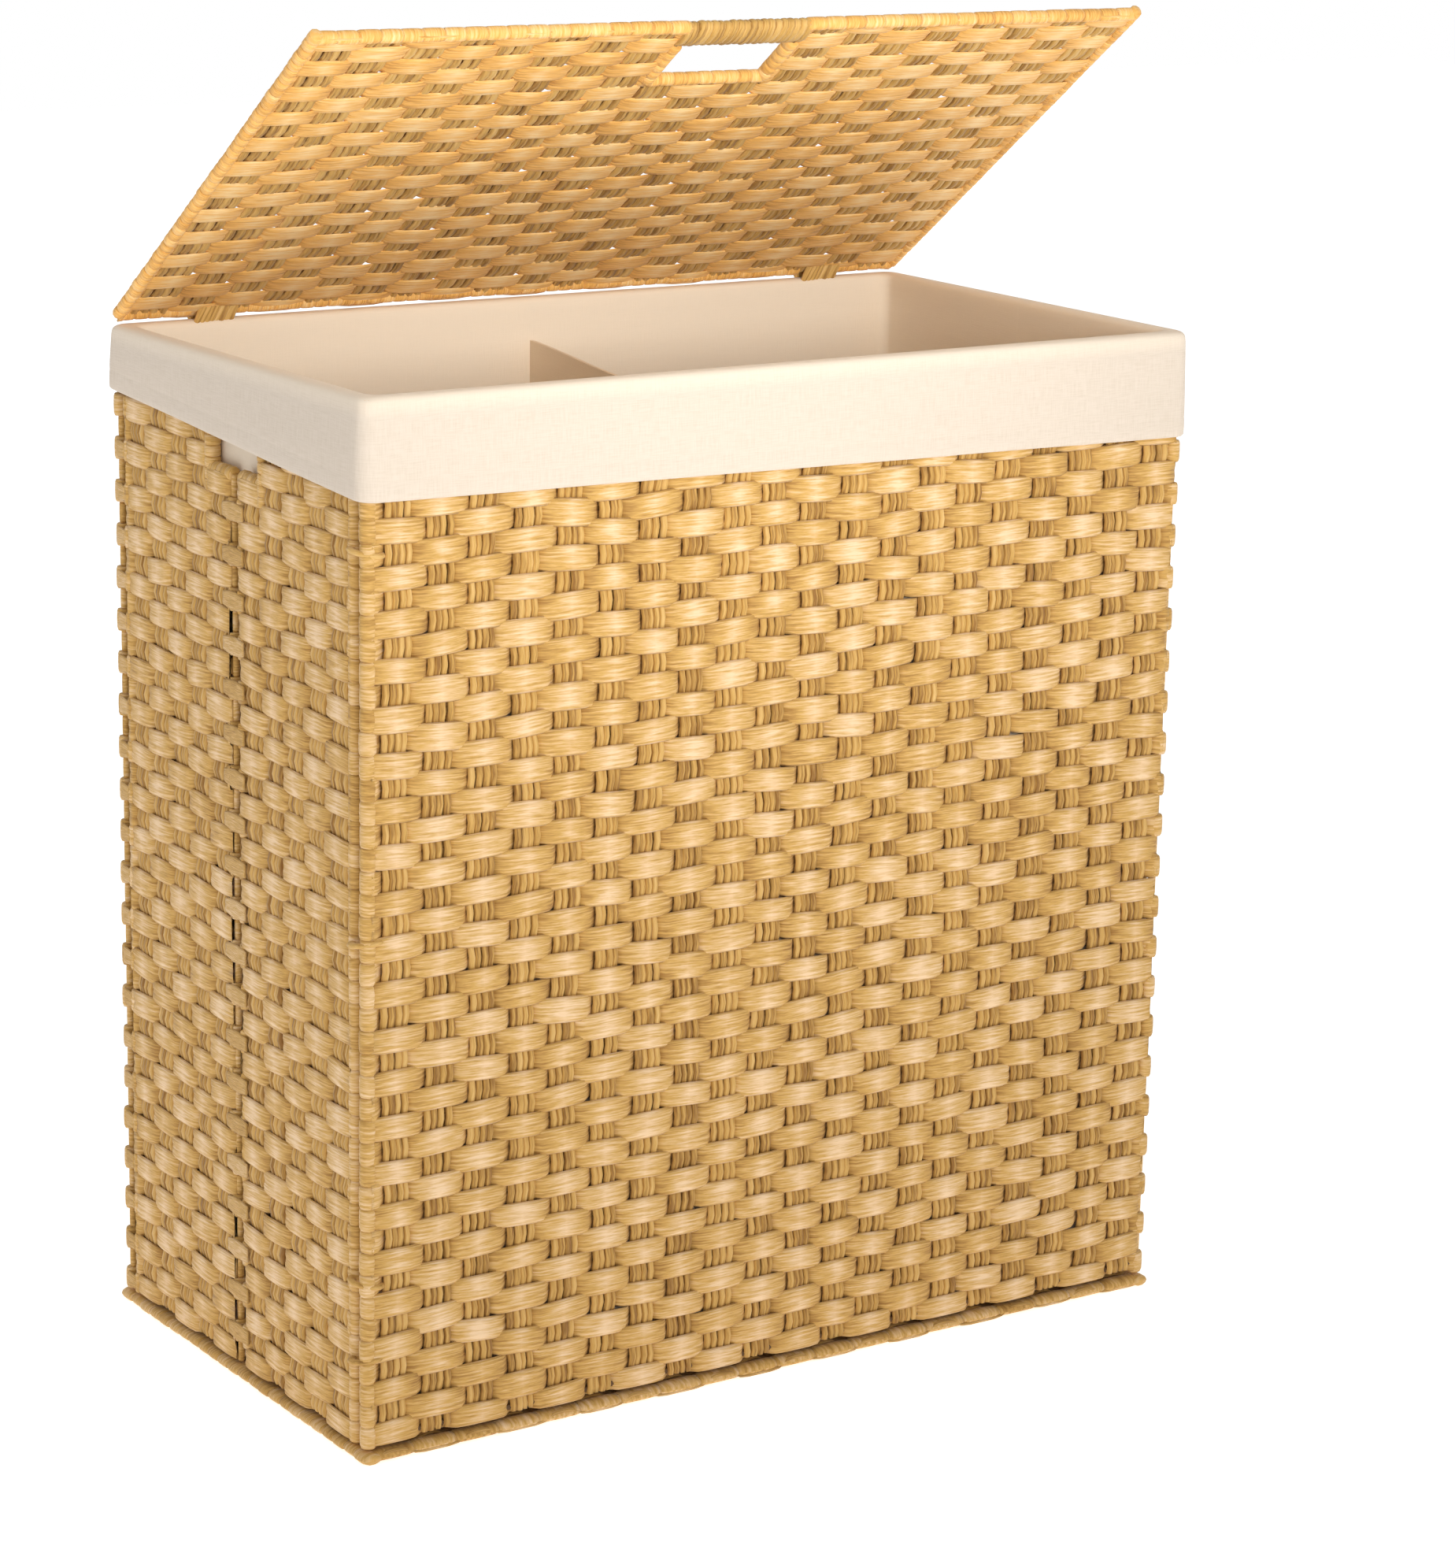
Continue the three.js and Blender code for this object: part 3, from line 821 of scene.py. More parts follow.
def fix_place(piece, place):
    """Puts a piece in a place for good: the place goes into its mesh."""
    select_only(piece)
    piece.matrix_world = place
    bpy.ops.object.transform_apply(location=True, rotation=True, scale=True)


def dress(piece, material):
    """Smooths a piece and gives it its material."""
    select_only(piece)
    bpy.ops.object.shade_smooth()
    piece.data.materials.clear()
    piece.data.materials.append(material)


def finish_piece(piece, material, body):
    """Dresses a piece and lets it ride on its body."""
    dress(piece, material)
    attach(piece, body)
    piece.data.calc_loop_triangles()
    print(piece.name, len(piece.data.loop_triangles), "triangles on", body)


# %% Measuring a panel
def measure_panel(x_from, x_to, height, thickness, uprights, dive_share=WALL_DIVE):
    """The spacing of a lying panel: uprights fill it from edge strip to edge strip."""
    pitch = (x_to - x_from - 2 * EDGE_STRIP) / uprights
    rows = round(height / ROW_HEIGHT)
    return {
        "height": height,
        "pitch": pitch,
        "rows": rows,
        "row_height": height / rows,
        "first_upright": x_from + EDGE_STRIP + pitch / 2,
        "middle": thickness / 2,
        "depth_scale": thickness / (10 * MM),
        "dive_share": dive_share,
        "strand_spacing": STRAND_SPACING,
    }


wall_low, wall_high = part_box("front_wall_weave")
WALL_THICKNESS = wall_high.y - wall_low.y
WALL_HEIGHT = wall_high.z - wall_low.z
FRONT_FACE = -wall_low.y
INNER_FACE = FRONT_FACE - WALL_THICKNESS
print("walls are", round(WALL_HEIGHT / MM, 1), "mm high and", round(WALL_THICKNESS / MM, 1), "mm thick")


# %% The front and back walls
FRONT_UPRIGHTS = 20


def weave_wall(name, body, turn, slims, seed):
    """A whole wall: bands, uprights and wound edges, which are slim on every second row where the
    row next to it goes round the corner."""
    low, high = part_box(name + "_weave")
    panel = measure_panel(low.x, high.x, WALL_HEIGHT, WALL_THICKNESS, FRONT_UPRIGHTS)
    edge = RIM_ROD
    bands = add_bands(
        name + "_bands", panel, (low.x + edge, high.x - edge, 0, panel["rows"]), seed,
    )
    uprights = add_uprights(
        name + "_uprights", panel, (0, FRONT_UPRIGHTS, edge / 2, WALL_HEIGHT - edge / 2), seed + 20,
    )
    sides = [
        add_wraps(
            "edge", (x, 0, panel["middle"]), (x, WALL_HEIGHT, panel["middle"]),
            panel["row_height"], EDGE_RADIUS, seed + 30 + i, slim=slim,
        )
        for i, (x, slim) in enumerate(zip((low.x + edge, high.x - edge), slims))
    ]
    edges = join(sides, name + "_edges")
    for piece, material in ((bands, straw_band), (uprights, straw_strand), (edges, straw_wrap)):
        stand_up(piece, low.z, turn, INNER_FACE)
        finish_piece(piece, material, body)
    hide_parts(name + "_weave")


weave_wall("front_wall", "front_wall", 0, (None, 1), 100)
weave_wall("back_wall", "root", 180, (1, 1), 200)

# %% [markdown]
# ## Side walls
# Each side wall is two halves, hinged on each other at a crease in the middle, with a hand hole
# across the crease. A half has full rows above and below the hole and short rows beside it, so it is
# woven in three blocks that share one spacing. The short rows end on a wound post.

# %% Side halves
HALF_UPRIGHTS = 5
CREASE_RADIUS = 4.3 * MM
POST_OVERLAP = 8 * MM  # the post runs this far below the hole
HOLE_HEIGHT = 45 * MM
hole_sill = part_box("left_front_post")[0].z + POST_OVERLAP


def hole_rows(panel, z_from):
    """The rows that a side's hand hole takes away, as (first row, row after the last)."""
    first = round((hole_sill - z_from) / panel["row_height"])
    return first, first + round(HOLE_HEIGHT / panel["row_height"])


def weave_half(name, turn, way, face, corner_slim, seed):
    """Half a side wall; way is 1 or -1, from the crease to the corner along the lying panel."""
    low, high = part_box(name + "_weave")
    near, far = sorted((abs(low.y), abs(high.y)))
    x_from, x_to = (near, far) if way > 0 else (-far, -near)
    panel = measure_panel(x_from, x_to, WALL_HEIGHT, WALL_THICKNESS, HALF_UPRIGHTS)
    edge, rows, middle = RIM_ROD, panel["rows"], panel["middle"]
    first_gone, end_gone = hole_rows(panel, low.z)
    post_y = [abs(v.y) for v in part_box(name + "_post")]
    post = way * sum(post_y) / 2
    beside = (post, x_to - edge) if way > 0 else (x_from + edge, post)
    inner = (x_from + edge, x_to - edge)
    bands = join(
        [
            add_bands("low", panel, (*inner, 0, first_gone), seed),
            add_bands("beside", panel, (*beside, first_gone, end_gone), seed + 3),
            add_bands("high", panel, (*inner, end_gone, rows), seed + 6),
        ],
        name + "_bands",
    )
    hole_low, hole_high = first_gone * panel["row_height"], end_gone * panel["row_height"]
    near_crease = 0 if way > 0 else HALF_UPRIGHTS - 1
    rest = (1, HALF_UPRIGHTS) if way > 0 else (0, HALF_UPRIGHTS - 1)
    uprights = join(
        [
            add_uprights("rest", panel, (*rest, edge / 2, WALL_HEIGHT - edge / 2), seed + 20),
            add_uprights("below", panel, (near_crease, near_crease + 1, edge / 2, hole_low), seed + 24),
        ],
        name + "_uprights",
    )
    corner, crease = (x_to - edge, x_from + edge) if way > 0 else (x_from + edge, x_to - edge)
    row_height = panel["row_height"]
    edges = join(
        [
            add_wraps("corner", (corner, 0, middle), (corner, WALL_HEIGHT, middle), row_height,
                      EDGE_RADIUS, seed + 30, slim=corner_slim),
            add_wraps("crease", (crease, 0, middle), (crease, hole_low, middle), row_height,
                      CREASE_RADIUS, seed + 34, slim=0),
            add_wraps("post", (post, hole_low - row_height, middle), (post, hole_high, middle),
                      row_height / 2, EDGE_RADIUS, seed + 38),
            add_wraps("sill", (crease, hole_low, middle), (post, hole_low, middle), 5 * MM,
                      CREASE_RADIUS, seed + 42),
        ],
        name + "_edges",
    )
    for piece, material in ((bands, straw_band), (uprights, straw_strand), (edges, straw_wrap)):
        stand_up(piece, low.z, turn, face)
        finish_piece(piece, material, name + "_half")
    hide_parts(name + "_weave")
    return panel


SIDE_FACE = -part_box("left_front_weave")[0].x
SIDE_INNER_FACE = SIDE_FACE - WALL_THICKNESS
for side, turn, front_way, seed in (("left", -90, 1, 300), ("right", 90, -1, 500)):
    half_panel = weave_half(side + "_front", turn, front_way, SIDE_INNER_FACE, None, seed)
    weave_half(side + "_rear", turn, -front_way, SIDE_INNER_FACE, 1, seed + 100)

# %% [markdown]
# ## Lacing across the folds
# Every second row carries on across a side's crease and round a back corner, and that is what hinges
# the walls. The short bands between leave dark slots. Each lace is bent from one band and fixed in
# place where it crosses between two bodies. The front-left corner is only tied with a
# few loops of twine.

# %% Laces across the crease and round the back corners
LACE_HALF_HEIGHT = 5.6 * MM
LACE_BULGE = 1.0 * MM
LACE_STATIONS = [0, 0.08, 0.2, 0.35, 0.5, 0.65, 0.8, 0.92, 1]


def add_lace(name, route, height, count, step, seed):
    """Flat bands one above another; route gives a lace's (x, y) at each share of its length."""
    lace = add_tube("lace", LACE_STATIONS, BAND_SIDES)
    around = number_tube(lace, BAND_SIDES, 0, 1)
    points = get_points(lace)
    share = points[:, 0]
    middle = np.array([route(s) for s in share])
    ahead = np.array([route(s + 0.01) for s in share]) - np.array([route(s - 0.01) for s in share])
    ahead /= np.linalg.norm(ahead, axis=1)[:, None]
    section = np.array(BAND_SECTION)[around]
    taper = 0.75 + 0.25 * np.sin(math.pi * np.clip(share, 0, 1))
    out = section[:, 1] * LACE_BULGE * taper
    points = np.column_stack([
        middle[:, 0] + ahead[:, 1] * out,
        middle[:, 1] - ahead[:, 0] * out,
        height + section[:, 0] * LACE_HALF_HEIGHT * taper,
    ])
    set_points(lace, points)
    repeat(lace, count, (0, 0, step), (0, 1))
    points, numbers = get_points(lace), numbers_of(lace)
    row = np.floor(numbers[:, 1]).astype(int)
    tone = table(seed, count, 1)[row, 0]
    points[:, 2] += 0.7 * MM * table(seed + 1, count, 1)[row, 0]
    set_points(lace, points)
    paint_tone(lace, 0.45 + 0.2 * tone)
    face_out(lace)
    lace.name = name
    return lace


def blend_piece(piece, material, first, second):
    """Dresses a piece and puts its place into its mesh; first and second name the bodies it joins."""
    dress(piece, material)
    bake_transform(piece)
    print(piece.name, "bends between", first, "and", second)


row_height = half_panel["row_height"]
lace_step = 2 * row_height
crease_rows = hole_rows(half_panel, wall_low.z)[0] // 2
wall_rows = half_panel["rows"] // 2 - 2
CREASE_REACH = 12 * MM
CORNER_REACH = 15 * MM
CORNER_BEND = 4.5 * MM


def corner_route(sign):
    """Round a back corner, from the side wall to the back wall: sign is -1 on the left."""
    side_x, back_y = SIDE_FACE - 1 * MM, FRONT_FACE - 1 * MM
    straight = CORNER_REACH - CORNER_BEND
    length = 2 * straight + CORNER_BEND * math.pi / 2

    def route(share):
        """Where a lace runs at a share of its length."""
        along = share * length
        if along < straight:
            return (sign * side_x, back_y - CORNER_BEND - straight + along)
        if along > length - straight:
            return (sign * (side_x - CORNER_BEND - (along - length + straight)), back_y)
        turn = (along - straight) / CORNER_BEND
        return (
            sign * (side_x - CORNER_BEND * (1 - math.cos(turn))),
            back_y - CORNER_BEND * (1 - math.sin(turn)),
        )

    return route


for side, sign in (("left", -1), ("right", 1)):
    crease_x = sign * (SIDE_FACE - 0.8 * MM)
    crease_laces = add_lace(
        side + "_crease_laces",
        lambda share: (crease_x, sign * CREASE_REACH * (1 - 2 * share)),
        wall_low.z + 1.5 * row_height, crease_rows, lace_step, 700,
    )
    blend_piece(
        crease_laces, straw_band, side + "_rear_half", side + "_front_half",
    )
    route = corner_route(sign)
    corner_laces = add_lace(
        side + "_corner_laces", (lambda s: route(1 - s)) if sign > 0 else route,
        wall_low.z + 0.5 * row_height, wall_rows, lace_step, 720,
    )
    blend_piece(
        corner_laces, straw_band, "root", side + "_rear_half",
    )

# %% [markdown]
# ## Lid
# The lid is a woven panel about its own wire, with a hand hole near its free edge. Between the hole
# and the edge the straw is wound round and round, which makes a smooth bar to hold. It is woven shut
# and lying, and then turned about its hinge rod to the angle at which it stands.

# %% The lid's weave
LID_UPRIGHTS = 19
LID_HOLE_HALF = 35 * MM
LID_BAR_DEPTH = 21 * MM  # from the free edge to the hole
LID_HOLE_DEPTH = 35 * MM
LID_POST = LID_HOLE_HALF + 4.5 * MM
LID_THICKNESS = 10 * MM
LID_EDGE_RADIUS = 3.9 * MM
LID_FLATNESS = 0.6  # the lid's bands are pressed flatter than the walls'
hinge = next(joint for joint in frame["joints"] if joint["name"] == "lid_hinge")
HINGE_PLACE = Vector(hinge["pos_m"])
LID_ANGLE = math.radians(-hinge["range_deg"][0])
LID_REACH = HINGE_PLACE.y - cad_low.y  # from the hinge rod to the free edge
BAND_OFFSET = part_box("hinge_band_right")[0].x + 13 * MM
BAND_NOTCH = 14 * MM


def turn_lid(piece):
    """Moves a lying lid piece to the hinge and turns it open. Its upper side ends up below, where
    it is seen while the lid stands open."""
    flip = Euler((0, math.pi, 0)).to_matrix().to_4x4()
    flip.translation = Vector((0, -LID_REACH, LID_THICKNESS / 2))
    opened = Euler((-LID_ANGLE, 0, 0)).to_matrix().to_4x4()
    opened.translation = HINGE_PLACE
    fix_place(piece, opened @ flip)


def weave_lid(seed):
    """Bands, uprights and wound edges of the lid, with y from the free edge to the hinge."""
    half_width = cad_high.x
    depth = LID_REACH + LID_THICKNESS / 2
    panel = measure_panel(-half_width, half_width, depth, LID_THICKNESS, LID_UPRIGHTS, LID_DIVE)
    panel["depth_scale"] = LID_FLATNESS
    panel["strand_spacing"] = LID_STRAND_SPACING
    row_height, rows, middle = panel["row_height"], panel["rows"], panel["middle"]
    edge = half_width - RIM_ROD
    gone = math.ceil((LID_BAR_DEPTH + LID_HOLE_DEPTH) / row_height)
    sill = gone * row_height - EDGE_RADIUS
    bands = join(
        [
            add_bands("left", panel, (-edge, -LID_POST, 0, gone), seed),
            add_bands("right", panel, (LID_POST, edge, 0, gone), seed + 3),
            add_bands("full", panel, (-edge, edge, gone, rows), seed + 6),
        ],
        "lid_bands",
    )
    first_cut = math.ceil((-LID_POST - panel["first_upright"]) / panel["pitch"])
    end_cut = LID_UPRIGHTS - first_cut
    ends = (RIM_ROD / 2, LID_REACH)
    uprights = join(
        [
            add_uprights("left", panel, (0, first_cut, *ends), seed + 20),
            add_uprights("middle", panel, (first_cut, end_cut, sill, LID_REACH), seed + 23),
            add_uprights("right", panel, (end_cut, LID_UPRIGHTS, *ends), seed + 26),
        ],
        "lid_uprights",
    )
    hinge_runs = [
        (-edge, -BAND_OFFSET - BAND_NOTCH),
        (-BAND_OFFSET + BAND_NOTCH, BAND_OFFSET - BAND_NOTCH),
        (BAND_OFFSET + BAND_NOTCH, edge),
    ]
    wound = [
        add_wraps("hinge", (a, LID_REACH, middle), (b, LID_REACH, middle), 9 * MM, LID_EDGE_RADIUS,
                  seed + 30 + i)
        for i, (a, b) in enumerate(hinge_runs)
    ]
    wound += [
        add_wraps("free", (a, LID_EDGE_RADIUS, middle), (b, LID_EDGE_RADIUS, middle), 13 * MM,
                  LID_EDGE_RADIUS, seed + 40 + i)
        for i, (a, b) in enumerate(((-edge, -LID_POST), (LID_POST, edge)))
    ]
    wound += [
        add_wraps("side", (x, 0, middle), (x, LID_REACH, middle), row_height / 2, LID_EDGE_RADIUS,
                  seed + 50 + i)
        for i, x in enumerate((-edge, edge))
    ]
    wound += [
        add_wraps("post", (x, LID_BAR_DEPTH, middle), (x, sill, middle), row_height / 2,
                  CREASE_RADIUS, seed + 60 + i)
        for i, x in enumerate((-LID_POST, LID_POST))
    ]
    wound.append(
        add_wraps("sill", (-LID_POST, sill, middle), (LID_POST, sill, middle), 9 * MM,
                  LID_EDGE_RADIUS, seed + 70)
    )
    edges = join(wound, "lid_edges")
    bar_end = LID_POST + 3 * MM
    bar = add_wraps(
        "lid_bar", (-bar_end, LID_BAR_DEPTH / 2, middle), (bar_end, LID_BAR_DEPTH / 2, middle),
        4.2 * MM, LID_BAR_DEPTH / 2, seed + 80, flatten=0.45,
    )
    materials = (lid_band, lid_strand, lid_wrap, lid_bar_straw)
    for piece, material in zip((bands, uprights, edges, bar), materials):
        turn_lid(piece)
        finish_piece(piece, material, "lid")
    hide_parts("lid_weave")


# The lid's wound edges take the same colours, painted lighter as light on the shaded lid.
lid_wrap = make_straw("lid_wrap", 2.0, 9, **LID_COLOURS_PAINTED_LIGHTER, bump=0.5)
lid_bar_straw = make_straw("lid_bar_straw", 2.0, 4, **STRAND_COLOURS, bump=0.5)
weave_lid(800)

# %% [markdown]
# ## Base
# The base is a thinner woven mat that the walls stand on. Only its wound edge shows when the basket
# stands, but the underside is woven too, because a basket is also tipped over. The edge is wound
# broad and flat, so that no gap shows under the walls. Along the front and the back it is wound in
# long turns, which gives the bottom its scalloped line.

# %% The base mat
BASE_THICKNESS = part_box("base_mat")[1].z
BASE_RADIUS = BASE_THICKNESS / 2
LONG_TURN = 27 * MM
BASE_EDGE = 6 * MM  # half the width of the flat wound edge
BASE_LIFT = 0.2 * MM


def lay_base(piece, depth):
    """Turns a lying base piece over, so that its outer side faces the floor."""
    place = Euler((math.pi, 0, 0)).to_matrix().to_4x4()
    place.translation = Vector((0, depth / 2, BASE_THICKNESS))
    fix_place(piece, place)


def weave_base(seed):
    """Bands, uprights and wound edges of the base."""
    low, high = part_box("base_mat")
    depth = high.y - low.y
    panel = measure_panel(low.x, high.x, depth, BASE_THICKNESS * 0.9, FRONT_UPRIGHTS, LID_DIVE)
    panel["middle"] = BASE_RADIUS - BASE_LIFT
    inset, flatten = BASE_EDGE, BASE_RADIUS * 0.96 / BASE_EDGE
    bands = add_bands("base_bands", panel, (low.x + inset, high.x - inset, 0, panel["rows"]), seed)
    uprights = add_uprights(
        "base_uprights", panel, (0, FRONT_UPRIGHTS, inset, depth - inset), seed + 20,
    )
    wound = [
        add_wraps("side", (x, 0, BASE_RADIUS), (x, depth, BASE_RADIUS), panel["row_height"],
                  BASE_EDGE, seed + 30 + i, flatten)
        for i, x in enumerate((low.x + inset, high.x - inset))
    ]
    wound += [
        add_wraps("long", (low.x + inset, y, BASE_RADIUS), (high.x - inset, y, BASE_RADIUS), LONG_TURN,
                  BASE_EDGE, seed + 40 + i, flatten)
        for i, y in enumerate((inset, depth - inset))
    ]
    edges = join(wound, "base_edges")
    for piece, material in ((bands, straw_band), (uprights, straw_strand), (edges, straw_wrap)):
        lay_base(piece, depth)
        finish_piece(piece, material, "root")
    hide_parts("base_mat")


weave_base(1000)

# %% [markdown]
# ## Linen
# The liner is plain cotton and linen cloth: fine threads both ways, with thicker slubs here and
# there. The threads are two stretched noises on the cloth's own flat map, where one unit is a metre,
# so they lie along the cut whatever way the cloth turns. The cuff is painted a little greyer, as
# shade, and the inside lighter, as light, though both are the same cloth.

# %% Linen finish
CLOTH_MAP = "flat"
RIM_FADE = 15 * MM  # the cuff's colour, painted darker as shade, gives way to the inside's, painted lighter as light, over this much cloth
# how far the inside is painted towards its lighter colour, as painted light
PAINTED_INSIDE_LIGHT_SHARE = 0.8
FINE_THREADS = 1500  # a metre
LONG_THREADS = 90  # how often a metre a thread changes along its length
THREAD_HEIGHT = 0.3 * MM
CREASE_HEIGHT = 3 * MM


def add_threads(tree, flat, scale, detail):
    """A noise stretched one way on the flat map, as threads are."""
    return add_noise(tree, add_stretch(tree, flat, scale), detail)


def add_linen_colour(tree, flat, threads, plain, slub, inside):
    """The plain colour with its slubs, and past the rim, where the map's V is over 0, the inside's
    colour, which is painted lighter as light.
    """
    slubs = add_range(tree, threads, (0.85, 1.35))
    painted_inside_light = add_range(tree, split_up(tree, flat)["Y"], (0, RIM_FADE), (0, PAINTED_INSIDE_LIGHT_SHARE))
    cuff = mix_colours(tree, slubs, to_linear(*plain), to_linear(*slub))
    return mix_colours(tree, painted_inside_light, cuff, to_linear(*inside))


def make_linen(name, plain, slub, inside):
    """Cloth with threads both ways: plain is its ground colour, painted a little darker as shade on the
    cuff, and slub its darker threads. Near the rim, where the map's V is over 0, it turns to the
    inside's lighter colour, which is painted light on the same cloth."""
    material, tree, shader = new_material(name, {
        "Roughness": 0.92,
        "Specular IOR Level": 0.15,
        "Sheen Weight": 0.15,
    })
    flat = add_node(tree, "ShaderNodeUVMap", uv_map=CLOTH_MAP).outputs["UV"]
    across = add_threads(tree, flat, (FINE_THREADS, LONG_THREADS, 1), 2.0)
    along = add_threads(tree, flat, (LONG_THREADS, FINE_THREADS, 1), 2.0)
    creases = add_threads(tree, flat, (5, 28, 1), 3.0)
    threads = add_sum(tree, across, along, 1.0)
    soft = add_bump(tree, creases, 0.7, CREASE_HEIGHT)
    bumps = add_bump(tree, threads, 0.35, THREAD_HEIGHT, under=soft)
    colour = add_linen_colour(tree, flat, threads, plain, slub, inside)
    wire_up(tree, colour, shader.inputs["Base Color"])
    wire_up(tree, bumps, shader.inputs["Normal"])
    return material


# One cloth: the cuff's ground is painted darker as shade, and the inside, the divider and the floor
# cloth are painted lighter as light.
linen = make_linen("linen", (220, 206, 190), (211, 196, 178), (247, 231, 208))
linen_lining = make_linen("linen_lining", (238, 218, 190), (228, 206, 176), (240, 221, 194))

# %% [markdown]
# ## Liner and cuff
# The liner comes up the inside of each wall, over the rim and down outside as a cuff. It could be
# draped by a simulation, but it is sewn to fit and held by the walls, so it is folded instead: a
# flat grid is made, and each point of it is taken to its place. The columns follow the rim, and the
# rows go from the hem up outside, over the rim and down inside. The cloth is sewn from four pieces,
# with a seam in the back, so that each piece bends only at one corner of the walls.

# %% The way round the rim
CLOTH = 1.1 * MM
CUFF_HALF_X = cad_high.x - CLOTH / 2
CUFF_HALF_Y = -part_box("liner_front")[0].y - CLOTH / 2
LINER_HALF_X = SIDE_INNER_FACE - 0.3 * MM - CLOTH / 2
LINER_HALF_Y = INNER_FACE - 0.3 * MM - CLOTH / 2
CUFF_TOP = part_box("liner_front")[1].z - CLOTH / 2
LINER_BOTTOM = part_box("liner_front")[0].z
CUFF_DROP = {"front_left": 55 * MM, "front_right": 62 * MM, "back_left": 36 * MM, "back_right": 32 * MM}
CORNER_RADIUS = 8 * MM
COLUMN_SPACING = 11 * MM
CORNER_COLUMNS = 6


def straight(start, end):
    """Points along a straight stretch of the rim, with the direction out of the basket at each."""
    start, end = np.array(start), np.array(end)
    length = np.linalg.norm(end - start)
    count = max(2, round(length / COLUMN_SPACING))
    share = np.linspace(0, 1, count, endpoint=False)[:, None]
    ahead = (end - start) / length
    outward = np.array([ahead[1], -ahead[0]])
    return np.hstack([start + share * (end - start), np.tile(outward, (count, 1))])


def corner(x_sign, y_sign, first_degrees):
    """Points round a corner of the rim, a quarter turn on from first_degrees."""
    turn = np.radians(first_degrees + np.linspace(0, 90, CORNER_COLUMNS, endpoint=False))
    outward = np.column_stack([np.cos(turn), np.sin(turn)])
    centre = np.array([
        x_sign * (CUFF_HALF_X - CORNER_RADIUS), y_sign * (CUFF_HALF_Y - CORNER_RADIUS),
    ])
    return np.hstack([centre + CORNER_RADIUS * outward, outward])


def end_point(x, y, outward):
    """The last point of a route."""
    return np.array([[x, y, *outward]])


def cuff_drop(x, y):
    """How far the cuff hangs at a place on the rim: it differs from corner to corner."""
    right, back = (x / CUFF_HALF_X + 1) / 2, (y / CUFF_HALF_Y + 1) / 2
    front_drop = CUFF_DROP["front_left"] * (1 - right) + CUFF_DROP["front_right"] * right
    back_drop = CUFF_DROP["back_left"] * (1 - right) + CUFF_DROP["back_right"] * right
    return front_drop * (1 - back) + back_drop * back


# %% The way over the rim
RIM_ROUND = 3.5 * MM
HEM_TURN = 11 * MM
HEM_PROUD = 1.0 * MM
INNER_ROWS = 26
ACROSS = CUFF_HALF_X - LINER_HALF_X  # from the cuff to the lining


def over_the_rim(drop):
    """Rows of the cloth at one column: (share of the way in, height, proud) from hem to bottom."""
    hem = CUFF_TOP - drop
    rows = [(0, hem + HEM_TURN, -0.2 * MM), (0, hem + 1.5 * MM, -0.2 * MM), (0, hem, HEM_PROUD / 2)]
    rows += [(0, hem + 1.5 * MM, HEM_PROUD), (0, hem + HEM_TURN - MM, HEM_PROUD)]
    rows += [(0, hem + HEM_TURN, HEM_PROUD - 0.4 * MM), (0, hem + HEM_TURN + MM, HEM_PROUD)]
    side_low, side_high = hem + HEM_TURN + MM, CUFF_TOP - RIM_ROUND
    rows += [(0, side_low + s * (side_high - side_low), HEM_PROUD * (1 - s)) for s in (0.3, 0.65, 1)]
    for degrees in (30, 60, 90):
        turn = math.radians(degrees)
        inward, upward = RIM_ROUND * (1 - math.cos(turn)), RIM_ROUND * math.sin(turn)
        rows.append((inward / ACROSS, side_high + upward, 0))
    rows += [(1 - share, height, 0) for share, height, _ in reversed(rows[-3:])]
    inner_top = CUFF_TOP - RIM_ROUND
    for i in range(INNER_ROWS + 1):
        rows.append((1, inner_top - (i / INNER_ROWS) * (inner_top - LINER_BOTTOM), 0))
    return np.array(rows)


# %% Creases and slack in the cloth
CUFF_PROUD = 0.6 * MM
CUFF_WAVE = 1.2 * MM
BROAD_FOLD = 1.0 * MM
FINE_FOLD = 0.9 * MM
FOLD_START = 60 * MM  # the lining's folds are full this far below the rim


def cloth_noise(x, y, z):
    """A smooth noise in space, from -1 to 1."""
    return noise.noise(Vector((x, y, z)))


def slack(x, y, z, inside, hem_share):
    """How far the cloth stands off its wall: waves in the cuff, and soft folds in the lining."""
    if inside < 0.5:
        wave = cloth_noise(x * 16, y * 16, z * 9)
        return hem_share * (CUFF_PROUD + CUFF_WAVE * wave)
    depth = min(1.0, (CUFF_TOP - z) / FOLD_START)
    broad = cloth_noise(x * 11 + 5, y * 11, z * 4)
    fine = abs(cloth_noise(x * 26, y * 26 + 3, z * 7 + x * 20)) - 0.3
    return depth * (BROAD_FOLD * broad + FINE_FOLD * fine)


# %% Folding one sheet
def add_grid(name, columns, rows):
    """A flat grid, and its points as shares of its width and its height."""
    bpy.ops.object.select_all(action="DESELECT")
    bpy.ops.mesh.primitive_grid_add(x_subdivisions=columns, y_subdivisions=rows, size=1)
    grid = bpy.context.active_object
    grid.name = name
    return grid, get_points(grid) + 0.5


def run_lengths(points):
    """How far along a line through these points each of them lies."""
    steps = np.linalg.norm(np.diff(points, axis=0), axis=1)
    return np.concatenate([[0], np.cumsum(steps)])


